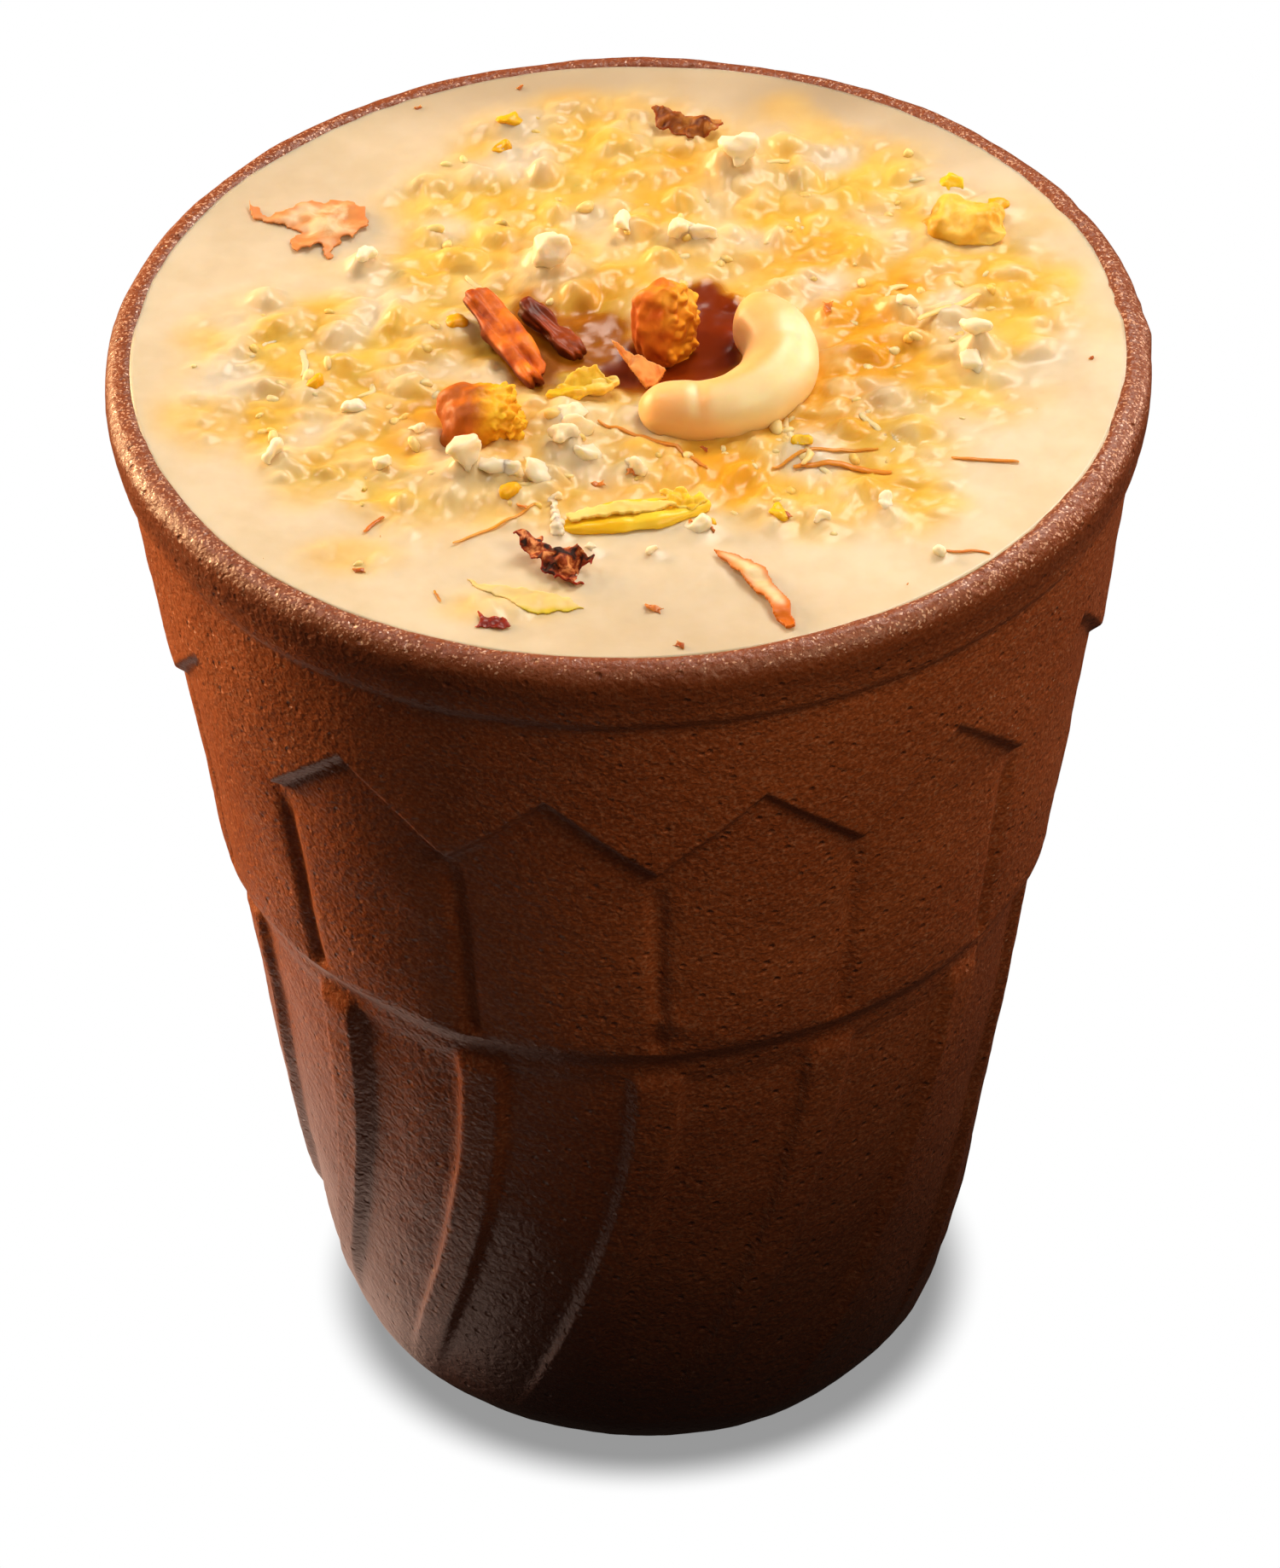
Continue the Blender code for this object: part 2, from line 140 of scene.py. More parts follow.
def ruffle(piece, layers, seed, inward=0.0):  # uneven skin; layers are width and height of waves in mm
    shift = Vector((seed, 2 * seed, -seed))
    pushPoints(piece, lambda place, normal: sum(
        (height * noise.noise(place / (size * mm) + shift) for size, height in layers), -inward))


# The cup: earthenware pressed in a mould, so its relief is soft-edged and slightly uneven.
cup = {
    "panels": 14,
    "firstGroove": 2.0,      # degrees from the front
    "columns": (0, 0.5, 1.0, 1.5, 2.1, 2.7, 3.3, 3.9, 4.6, 5.8, 7.4, 9.2, 11.0),  # degrees from a groove
    "rows": (12, 7, 34, 64),  # down the band, the ledge, the panels and the flutes
    "inside": ((0, 6), (16, 6), (20.8, 7.8), (22.6, 13), (27.4, 44.5), (32.3, 70), (35.4, 83)),
    "lip": ((36.3, 87.2), (37.0, 90.9), (37.4, 91.6), (38.0, 92.06), (38.75, 92.05), (39.4, 91.68),
            (39.82, 91.05), (39.93, 90.4), (39.88, 89.5), (39.72, 88.5), (39.52, 87.5), (39.3, 86.75),
            (38.95, 86.15), (38.62, 85.6), (38.45, 84.7)),
    "height": 92.15,
    "bandTaper": 0.13,
    "zigzag": (69.6, 77.2),  # heights of its valleys and peaks
    "ledge": 0.85,
    "bead": (0.3, 0.2, 0.08),  # place on the ledge, width, rise in mm
    "panelFoot": (32.85, 50.4),
    "panelTaper": 0.15,
    "crown": 0.3,
    "groove": (1.15, 0.42),   # half width in degrees, depth in mm
    "step": ((32.6, 49.75), (32.2, 49.1), (31.6, 48.3), (31.25, 47.6), (31.08, 46.8)),
    "fluteTop": (31.0, 46.2),
    "fluteEnd": 6.5,
    "fluteTaper": 0.15,
    "tuck": (14, 0.012),      # from this height down the wall draws in to the foot
    "rib": (2.6, 4.5, 0.75),  # half top and half foot in degrees, height in mm
    "bend": 22.0,
    "base": ((23.95, 4.9), (23.5, 3.9), (22.9, 3.0), (22.1, 2.0), (21.3, 1.1), (20.5, 0.45), (19.9, 0.12),
             (19.3, 0.0), (12, 0.0), (0, 0.0)),
    "lean": 0.45,
    "uneven": 0.12,
    "skin": ((8.0, 0.16), (2.5, 0.06), (0.9, 0.03)),
    # Dabs and hollows on the wall, then chips on the lip: azimuth, height, width, rise.
    "marks": ((3, 53.2, 1.3, 0.55), (8, 52.2, 1.0, 0.25), (48, 37, 3.2, 0.35), (-36, 61, 4.0, -0.15),
              (-20, 30, 5.0, 0.2), (22, 60, 5.0, -0.15),
              (97, 91.4, 1.0, -0.35), (101, 91.6, 0.7, -0.3), (90, 91.5, 0.8, -0.25),
              (94, 90.9, 1.2, 0.25), (60, 91.8, 0.6, -0.2), (52, 91.7, 0.9, 0.15),
              (118, 91.6, 0.8, -0.2), (-70, 91.8, 1.0, 0.12)),
}


def cupLean(height):  # the foot stands a little to the left of the rim
    return -cup["lean"] * smooth((62 - height) / 40)


def cupBend(height):  # degrees that the ribs have turned at a height
    top, end = cup["fluteTop"][1], cup["fluteEnd"]
    run = max(top - height, 0.0) / (top - end)
    return -cup["bend"] * run * run


def cupUneven(azimuth, height):  # the wall isn't quite round, in mm
    a = math.radians(azimuth)
    return cup["uneven"] * (math.sin(2 * a + height / 23) + 0.6 * math.sin(5 * a - height / 11))


def curveThrough(points, steps):  # a smooth line through the points
    found = []
    for i in range(len(points) - 1):
        before, a, b = points[max(i - 1, 0)], points[i], points[i + 1]
        after = points[min(i + 2, len(points) - 1)]
        for k in range(steps):
            t = k / steps
            found.append(tuple(0.5 * (2 * a[j] + (b[j] - before[j]) * t
                                      + (2 * before[j] - 5 * a[j] + 4 * b[j] - after[j]) * t * t
                                      + (3 * a[j] - before[j] - 3 * b[j] + after[j]) * t ** 3)
                               for j in (0, 1)))
    found.append(points[-1])
    return found


def wallRows():  # from the middle of the floor over the lip and down to the middle of the base
    band, ledge, panel, flute = cup["rows"]
    rows = [("inside", point) for point in cup["inside"]]
    rows += [("turned", point) for point in curveThrough(cup["lip"], 3)]
    rows += [("band", t / band) for t in range(1, band)]
    rows += [("ledge", t / ledge) for t in range(ledge + 1)]
    rows += [("panel", t / panel) for t in range(1, panel + 1)]
    rows += [("turned", point) for point in curveThrough(cup["step"], 2)]
    rows += [("flute", t / flute) for t in range(flute + 1)]
    rows += [("turned", point) for point in curveThrough(cup["base"][:-2], 2)]
    rows += [("turned", point) for point in cup["base"][-2:]]
    return rows


def wallPoint(row, offset):  # radius and height of one point, offset degrees from the nearest groove
    kind, t = row
    if kind in ("inside", "turned"):
        return t
    half = 180 / cup["panels"]
    side = abs(offset) / half
    edge = mix(*cup["zigzag"], side)
    footRadius, footHeight = cup["panelFoot"]
    topRadius, topHeight = cup["lip"][-1]
    if kind == "band":
        height = mix(topHeight, edge + cup["ledge"], t)
        return topRadius - cup["bandTaper"] * (topHeight - height), height
    if kind in ("ledge", "panel"):
        grooveWidth, depth = cup["groove"]
        if kind == "ledge":
            height = edge + cup["ledge"] * (1 - 2 * t)
            depth = 0.0
        else:
            height = mix(edge - cup["ledge"], footHeight, t)
            depth *= smooth(t * 6)
        panel = footRadius + cup["panelTaper"] * (height - footHeight) - cup["crown"] * (1 - side) ** 2
        panel -= depth * math.exp(-(offset / grooveWidth) ** 2)
        if kind == "panel":
            return panel, height
        band = topRadius - cup["bandTaper"] * (topHeight - height)
        place, width, rise = cup["bead"]
        return mix(band, panel, smooth(t)) + rise * math.exp(-((t - place) / width) ** 2), height
    radius, top = cup["fluteTop"]
    height = mix(top, cup["fluteEnd"], t)
    tuckHeight, tuck = cup["tuck"]
    radius -= cup["fluteTaper"] * (top - height) + tuck * max(0.0, tuckHeight - height) ** 2
    ribTop, ribFoot, ribHeight = cup["rib"]
    rise = smooth((ribFoot - abs(offset)) / (ribFoot - ribTop))
    strength = smooth((height - 3.0) / 14) * smooth((top + 0.5 - height) / 1.5)
    return radius + (rise - 0.4) * ribHeight * strength, height


def modelCup():
    print("clay cup")
    half = 180 / cup["panels"]
    angles = list(cup["columns"]) + [half] + [2 * half - c for c in reversed(cup["columns"][1:])]
    rows = wallRows()
    across, along = cup["panels"] * len(angles), len(rows) - 1
    bpy.ops.mesh.primitive_grid_add(x_subdivisions=across, y_subdivisions=along, size=1)
    piece = bpy.context.object
    piece.name = "clayCup"
    for vertex in piece.data.vertices:
        index = round((vertex.co.x + 0.5) * across) % across
        row = rows[round((0.5 - vertex.co.y) * along)]
        panel, column = divmod(index, len(angles))
        offset = angles[column]
        radius, height = wallPoint(row, min(offset, 2 * half - offset))
        azimuth = cup["firstGroove"] + panel * 2 * half + offset
        if row[0] != "inside" and radius > 0:
            azimuth += cupBend(height)
            radius += cupUneven(azimuth, height) * smooth((cup["height"] - height) / 8)
            for at, up, width, rise in cup["marks"]:
                around = math.radians((azimuth - at + 180) % 360 - 180) * radius
                away = math.hypot(around, height - up) / width
                if away < 2.5:
                    wobble = 0.7 + 0.6 * noise.noise(Vector((around, height, at)) / (0.5 * width))
                    radius += rise * wobble * math.exp(-away * away)
        a = math.radians(azimuth)
        vertex.co = Vector((radius * math.sin(a) + cupLean(height), -radius * math.cos(a), height)) * mm
    activate(piece)
    bpy.ops.object.mode_set(mode="EDIT")
    bpy.ops.mesh.select_all(action="SELECT")
    bpy.ops.mesh.remove_doubles(threshold=0.000002)
    bpy.ops.mesh.normals_make_consistent(inside=False)
    bpy.ops.object.mode_set(mode="OBJECT")
    bpy.ops.object.shade_smooth()
    ruffle(piece, cup["skin"], 3.1, 0.05)
    for vertex in piece.data.vertices:  # nothing reaches below the floor
        vertex.co.z = max(vertex.co.z, 0.0)
    return piece


clay = {
    "body": ((0.3, "#9c4a1c"), (0.7, "#b8602c")),
    "grit": ((0.32, "#3c1808"), (0.5, "#a8562a"), (0.72, "#e8b08a")),
    "gritShare": 0.3,
    "lip": ("#602a0e", 0.6, 0.0862, 0.0895),    # colour, share, heights where it starts and is full
    "foot": ("#190b06", 0.1, 0.068),            # painted shade towards the base: colour, share of the body left at the base, height
    "micaAndGlints": ("#cc9c82", 0.994, 0.82, 0.0904, 0.0916),  # colour, threshold on wall and lip, heights; the pale specks packed on the lip are painted glints
    "quiet": (0.14, 0.006, 0.026),              # fewer mica specks and painted glints on the lip in front, from the middle out
    "roughness": (0.42, 0.14),                  # of clay and mica
    # Patterns per metre: clouds about 14 mm wide, pinholes every 1.6 mm, mica and grit near 0.2 mm.
    "cloudScale": 70.0, "pitScale": 620.0, "skinScale": 1500.0, "gritScale": 3400.0, "micaScale": 6600.0,
    "bumps": {  # strength and depth in metres, from the finest up
        "grit": (0.5, 0.00004), "skin": (0.85, 0.00024), "pits": (0.9, 0.00016), "micaAndGlints": (0.8, 0.00008)},
}


def clayMaterial():
    # Unglazed earthenware, burnished by the mould: fine grit, pinholes and specks of mica, with pale
    # specks packed on the lip as painted glints.
    material, tree, shader, place = startMaterial("firedEarthenware", {"IOR": 1.5})
    heights = addNode(tree, "SeparateXYZ", links={"Vector": place})
    cloud = addNode(tree, "TexNoise", {"Scale": clay["cloudScale"], "Detail": 6.0, "Roughness": 0.65},
                    {"Vector": place})
    base = addNode(tree, "ValToRGB", {"stops": clay["body"]}, {"Fac": cloud.outputs["Fac"]})
    grit = addNode(tree, "TexNoise", {"Scale": clay["gritScale"], "Detail": 2.0}, {"Vector": place})
    grain = addNode(tree, "ValToRGB", {"stops": clay["grit"]}, {"Fac": grit.outputs["Fac"]})
    grained = addNode(tree, "Mix", {"data_type": "RGBA", "Factor": clay["gritShare"]},
                      {6: base.outputs["Color"], 7: grain.outputs["Color"]})

    # darker and browner towards the top of the lip
    lipColour, share, start, full = clay["lip"]
    rim = addNode(tree, "MapRange", {"From Min": start, "From Max": full, "To Max": share,
                                     "interpolation_type": "SMOOTHSTEP"}, {"Value": heights.outputs["Z"]})
    lipDarkened = addNode(tree, "Mix", {"data_type": "RGBA", 7: lipColour},
                   {"Factor": rim.outputs["Result"], 6: grained.outputs[2]})

    # mica specks with painted glints: pale specks set densely on the lip
    micaAndGlintColour, onWall, onLip, start, full = clay["micaAndGlints"]
    cells = addNode(tree, "TexVoronoi", {"Scale": clay["micaScale"]}, {"Vector": place})
    chance = addNode(tree, "SeparateColor", links={"Color": cells.outputs["Color"]})
    limit = addNode(tree, "MapRange", {"From Min": start, "From Max": full, "To Min": onWall,
                                       "To Max": onLip}, {"Value": heights.outputs["Z"]})
    loss, near, far = clay["quiet"]
    aside = addNode(tree, "Math", {"operation": "ABSOLUTE"}, {0: heights.outputs["X"]})
    quiet = addNode(tree, "MapRange", {"From Min": near, "From Max": far, "To Min": loss, "To Max": 0.0},
                    {"Value": aside.outputs["Value"]})
    rare = addNode(tree, "Math", {"operation": "SUBTRACT"},
                   {0: chance.outputs["Red"], 1: quiet.outputs["Result"]})
    micaAndGlints = addNode(tree, "Math", {"operation": "GREATER_THAN"},
                   {0: rare.outputs["Value"], 1: limit.outputs["Result"]})
    speckled = addNode(tree, "Mix", {"data_type": "RGBA", 7: micaAndGlintColour},
                       {"Factor": micaAndGlints.outputs["Value"], 6: lipDarkened.outputs[2]})

    # painted shade: the clay darkens towards the base, standing in for the light that falls off there
    footShadeColour, left, full = clay["foot"]
    foot = addNode(tree, "MapRange", {"From Max": full, "To Min": left,
                                      "interpolation_type": "SMOOTHSTEP"},
                   {"Value": heights.outputs["Z"]})
    footShaded = addNode(tree, "Mix", {"data_type": "RGBA", 6: footShadeColour},
                    {"Factor": foot.outputs["Result"], 7: speckled.outputs[2]})
    dull, shiny = clay["roughness"]
    gloss = addNode(tree, "MapRange", {"To Min": dull, "To Max": shiny}, {"Value": micaAndGlints.outputs["Value"]})

    pits = addNode(tree, "TexVoronoi", {"Scale": clay["pitScale"]}, {"Vector": place})
    pit = addNode(tree, "ValToRGB", {"stops": ((0.06, "#000000"), (0.2, "#ffffff"))},
                  {"Fac": pits.outputs["Distance"]})
    peel = addNode(tree, "TexNoise", {"Scale": clay["skinScale"], "Detail": 3.0, "Distortion": 0.4},
                   {"Vector": place})
    sources = {"grit": grit.outputs["Fac"], "skin": peel.outputs["Fac"], "pits": pit.outputs["Color"],
               "micaAndGlints": chance.outputs["Green"]}
    links = {}
    for name, (strength, distance) in clay["bumps"].items():  # each bump adds to the one before
        bump = addNode(tree, "Bump", {"Strength": strength, "Distance": distance},
                       {"Height": sources[name], **links})
        links = {"Normal": bump.outputs["Normal"]}
    tree.links.new(footShaded.outputs[2], shader.inputs["Base Color"])
    tree.links.new(gloss.outputs["Result"], shader.inputs["Roughness"])
    tree.links.new(bump.outputs["Normal"], shader.inputs["Normal"])
    return material


clayCup = modelCup()
finishPiece(clayCup, clayMaterial(), "clay", "cup")

# What lies on the drink, sizes in mm.
scatter = {
    "nutModels": 7,
    "nuts": 120,
    "nutSizes": (0.4, 1.1),   # half widths
    "shreds": 16,
    # Larger white pieces: x, y, half width. The last seven lie in a row, as one pale fibre.
    "bigNuts": ((-12.4, -14.9, 1.9), (-10.4, -15.1, 1.6), (-8.9, -16.1, 1.1), (-6.6, -15.9, 1.4),
                (-4.3, -8.6, 1.7), (-3.8, -10.3, 1.5), (-4.7, -12.2, 1.6), (-3.1, -13.4, 1.3),
                (-6.1, 10.6, 2.0), (19.1, -20.3, 0.9), (14.0, -22.2, 0.9), (26.6, -0.8, 1.5),
                (26.2, -3.4, 1.2), (9.0, 23.4, 1.9), (4.5, 14.6, 1.5), (-0.1, 15.3, 1.2),
                (21.5, 4.4, 1.3), (-19.8, 12.2, 1.2), (-15.9, -9.8, 1.1), (-20.8, -6.9, 1.0),
                (-26.9, -12.6, 1.2), (22.8, -26.2, 0.6), (0.3, -15.0, 1.3), (-18.5, -14.0, 1.1),
                (6.0, 14.0, 1.3), (1.5, -25.2, 0.6), (4.8, -22.6, 1.0), (-3.2, -24.6, 0.6),
                (-5.9, -18.4, 0.6), (-5.85, -19.1, 0.6), (-5.85, -19.8, 0.58), (-5.8, -20.5, 0.6),
                (-5.75, -21.2, 0.6), (-5.65, -21.9, 0.62), (-5.6, -22.6, 0.7)),
    "yellowBits": ((-8.9, -18.0, 1.3), (10.8, -21.2, 1.2), (-12.9, 3.6, 1.3), (-8.6, 30.4, 1.3),
                   (25.2, 20.4, 1.4), (28.6, 17.6, 1.3), (13.0, -12.7, 0.9), (-23.8, -3.8, 1.2),
                   (5.6, -22.0, 0.8), (-9.4, 27.0, 0.9)),
    # Small bits stay off these ovals, where the larger garnish lies: x, y, half widths.
    "keepClear": ((6.0, -1.5, 9.5, 8.5), (-11.1, -8.8, 4.2, 4.6), (1.0, 1.2, 7.5, 5.0),
                  (-8.6, 0.4, 4.6, 6.4), (-5.8, -26.4, 4.0, 3.6), (9.0, -30.0, 3.6, 5.6),
                  (-8.3, -30.2, 5.4, 2.6), (0.2, -21.3, 6.6, 2.8), (-3.3, -4.8, 3.6, 2.2)),
}


# The drink: strained yoghurt, thick enough to hold the nuts up, yellow with saffron where they lie.
drink = {
    "level": 91.9,
    "lipLevel": 91.93,
    "swell": 0.25,
    "hollow": ((1.0, 0.5), 6.5, 0.9),  # centre, radius, depth
    "top": 37.9,            # reaches just into the wall of the lip
    "open": 36.7,           # radius inside the lip
    "cells": 240,
    "lumps": ((0.5, 3.4, 1.0), (0.3, 1.9, 4.0), (0.1, 1.0, 9.0)),  # height, width, seed
    "wrinkle": (0.03, 0.9),
    "thickCentre": (2.0, 3.0),
    "thickReach": (36, 35, 35, 34, 31, 25, 24.5, 28, 31, 33, 27, 31, 34, 33, 32, 31, 30, 30, 31, 31.5,
                   31, 27, 25, 28),  # mm from that centre, every 15 degrees from -180
    # Patches as x, y, half widths, strength: nuts out by the lip, painted shade on the milk near the rim,
    # dark syrup with painted shade in the hollow by the cashew.
    "farPatches": ((-9.5, -31.0, 5.5, 2.6, 0.7), (-21.0, -24.5, 4.5, 3.0, 0.6),
                   (-32.0, -6.5, 4.5, 5.5, 0.8), (30.5, 13.0, 4.5, 6.0, 0.55)),
    "shade": ((-6.0, 36.0, 26.0, 7.0, 0.75), (24.0, 30.0, 10.0, 8.0, 0.6), (16.0, 34.0, 11.0, 6.0, 1.0),
              (4.0, -36.0, 12.0, 7.0, 0.4), (-28.0, 24.0, 10.0, 9.0, 0.35)),
    # painted shade: this syrup colour also fills the shaded hollow between the cashew and the fruit
    "syrupAndShade": ((6.4, 2.4, 3.2, 7.0, 1.0), (2.5, -1.5, 5.4, 4.0, 1.0), (-3.4, 1.6, 4.6, 4.6, 0.7),
              (-7.0, 1.4, 2.8, 6.4, 0.8)),
    # Amber pools between the nuts, partly saffron colour and partly painted shade: x, y, radius,
    # strength.
    "amber": ((17.8, -1.5, 5.0, 1.0), (14.6, -8.0, 4.5, 0.9), (-15.6, -8.8, 3.6, 1.0),
              (-12.9, 2.5, 2.6, 0.5), (-2.2, 10.4, 4.5, 0.55), (-8.0, 9.5, 3.5, 0.6),
              (3.9, -13.9, 4.5, 0.6), (8.4, -16.2, 3.5, 0.6), (-2.5, -16.8, 4.0, 0.55),
              (23.0, 8.2, 6.0, 0.55), (10.9, 12.0, 4.5, 0.45), (-25.0, -4.0, 3.5, 0.35),
              (16.0, 6.0, 6.0, 0.5), (-11.0, -12.0, 4.0, 0.6), (6.0, 24.0, 5.0, 0.3),
              (-16.6, 16.5, 3.0, 0.35)),
    "milkColours": ((0.35, "#d8cbae"), (0.65, "#e0d5bc")),
    "yellowColours": ((0.35, "#deb446"), (0.65, "#e8c860")),
    "shadeColour": "#b0a086",
    "amberColour": "#dc9c1c",
    "syrupAndShadeColour": "#7a2c06",
    "roughness": (0.3, 0.24),  # of milk and syrup
}


def baseLevel(x, y):  # height of the drink without its nuts
    (hx, hy), radius, depth = drink["hollow"]
    wave = noise.noise(Vector((x / 9, y / 9, 0.7)))
    edge = smooth((36.5 - math.hypot(x, y)) / 5)
    away = math.hypot(x - hx, y - hy) / radius
    return drink["level"] + drink["swell"] * wave * edge - depth * (1 - smooth(away))


def thickness(x, y):  # how thick the nuts lie at a place, from 0 to 1
    dx, dy = x - drink["thickCentre"][0], y - drink["thickCentre"][1]
    turn = (math.degrees(math.atan2(dy, dx)) + 180) / 15
    reach = drink["thickReach"]
    k = int(turn) % 24
    edge = mix(reach[k], reach[(k + 1) % 24], turn - int(turn))
    edge += 4.5 * noise.noise(Vector((x / 6, y / 6, 5.0)))
    found = smooth((edge - math.hypot(dx, dy)) / 8 + 0.3)
    for px, py, rx, ry, strength in drink["farPatches"]:
        found = max(found, strength * smooth(1.3 - math.hypot((x - px) / rx, (y - py) / ry)))
    return found


def domes(x, y, size, seed):  # rounded heads of one size, 0 to 1
    point = Vector((x, y, 0)) / size + Vector((seed, seed * 2, 0))
    warp = noise.noise_vector(point * 1.7) * 0.35
    near = noise.voronoi(point + warp)[0][0]
    return smooth(1.05 - near * 1.55)


def lumps(x, y):  # height of the lumps at a place
    wave = noise.noise(Vector((x / 4.5, y / 4.5, 3.0)))
    heads = sum(height * domes(x, y, size, seed) for height, size, seed in drink["lumps"])
    return heads + 0.35 * wave - 0.15


def syrupAndShadeAt(x, y):  # dark syrup between the cashew, the fruit and the stick, and painted shade in the hollow between the cashew and the fruit, from 0 to 1
    found = 0.0
    fray = 0.25 * noise.noise(Vector((x / 1.8, y / 1.8, 2)))
    for sx, sy, rx, ry, strength in drink["syrupAndShade"]:
        away = math.hypot((x - sx) / rx, (y - sy) / ry) + fray
        found = max(found, strength * smooth((1.15 - away) / 0.45))
    return found


def collars(x, y):  # the drink climbs a little up each larger piece of nut
    return max(0.5 * size * math.exp(-((x - nx) ** 2 + (y - ny) ** 2) / (1.9 * size * size))
               for nx, ny, size in scatter["bigNuts"] + scatter["yellowBits"])


def modelDrink():
    print("drink")
    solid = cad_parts["lassi"]
    tree = BVHTree.FromObject(solid, bpy.context.evaluated_depsgraph_get())
    cells = drink["cells"]
    bpy.ops.mesh.primitive_grid_add(x_subdivisions=cells, y_subdivisions=cells, size=2)
    piece = bpy.context.object
    piece.name = "lassiDrink"
    for vertex in piece.data.vertices:  # the square grid becomes a round one
        a, b = vertex.co.x, vertex.co.y
        if abs(a) > abs(b):
            radius, turn = a, b / a * math.pi / 4
        else:
            radius, turn = b, math.pi / 2 - (a / b * math.pi / 4 if b else 0)
        x, y = radius * math.cos(turn) * drink["top"], radius * math.sin(turn) * drink["top"]
        level = baseLevel(x, y)
        if math.hypot(x, y) < drink["open"]:
            hit = tree.ray_cast(Vector((x, y, 110)) * mm, Vector((0, 0, -1)))[0]
            if hit:
                level = mix(level, max(level, hit.z / mm), 0.8)
        vertex.co = Vector((x, y, level)) * mm
    activate(piece)
    bpy.ops.object.mode_set(mode="EDIT")
    bpy.ops.mesh.select_all(action="SELECT")
    bpy.ops.mesh.region_to_loop()
    bpy.ops.mesh.select_all(action="INVERT")
    bpy.ops.mesh.vertices_smooth(factor=0.5, repeat=4)
    bpy.ops.object.mode_set(mode="OBJECT")
    for vertex in piece.data.vertices:
        x, y, level = vertex.co / mm
        out = math.hypot(x, y)
        level += thickness(x, y) * lumps(x, y) * smooth((35.8 - out) / 3) * (1 - 0.7 * syrupAndShadeAt(x, y))
        height, width = drink["wrinkle"]
        level += collars(x, y) + height * noise.noise(Vector((x / width, y / width, 8.0)))
        vertex.co.z = mix(level, drink["lipLevel"], smooth((out - 35.5) / 1.5)) * mm
    bpy.ops.object.mode_set(mode="EDIT")
    bpy.ops.mesh.select_all(action="SELECT")
    bpy.ops.mesh.region_to_loop()
    for radius, height in reversed(cup["inside"][1:]):  # its side follows the wall down to the floor
        bpy.ops.mesh.extrude_region_move()
        bpy.ops.object.mode_set(mode="OBJECT")
        for vertex in piece.data.vertices:
            if vertex.select:
                a = math.atan2(vertex.co.y, vertex.co.x)
                reach = radius + (0.1 if height > 7 else -0.1)
                vertex.co = Vector((reach * math.cos(a), reach * math.sin(a), height - 0.1)) * mm
        bpy.ops.object.mode_set(mode="EDIT")
    bpy.ops.mesh.edge_face_add()
    bpy.ops.mesh.select_all(action="SELECT")
    bpy.ops.mesh.normals_make_consistent(inside=False)
    bpy.ops.object.mode_set(mode="OBJECT")
    bpy.ops.object.shade_smooth()
    return piece


def tintDrink(piece):  # red: yellow among the nuts, green: amber, blue: dark syrup and painted shade in the hollow, alpha: painted shade on the milk
    colours = piece.data.color_attributes.new("tint", "FLOAT_COLOR", "POINT")
    for vertex, colour in zip(piece.data.vertices, colours.data):
        x, y, z = vertex.co / mm
        if z < 85:  # the hidden side stays plain
            continue
        thick = thickness(x, y)
        low = 1 - smooth(lumps(x, y) / 0.75 + 0.15)  # colour gathers between the lumps, partly as painted shade in the hollows
        patch = noise.noise(Vector((x / 5.5, y / 5.5, 9.0)))
        yellow = thick * (0.5 + 0.5 * low) * smooth(0.9 + 1.2 * patch)
        pools = sum(strength * math.exp(-((x - ax) ** 2 + (y - ay) ** 2) / (r * r))
                    for ax, ay, r, strength in drink["amber"])
        syrupAndShade = syrupAndShadeAt(x, y)
        bare = 1 - min(collars(x, y) * 1.6, 1.0)
        amber = thick * (0.3 + 0.6 * low) * smooth(pools * 0.9 + 0.5 * patch) * bare
        amber = max(amber, min(syrupAndShade * 1.7, 1.0))
        # painted shade: the milk darkens towards the rim at the back and front
        shade = max(strength * math.exp(-((x - sx) / rx) ** 2 - ((y - sy) / ry) ** 2)
                    for sx, sy, rx, ry, strength in drink["shade"])
        colour.color = (yellow * (0.4 + 0.6 * bare), amber, syrupAndShade, shade)


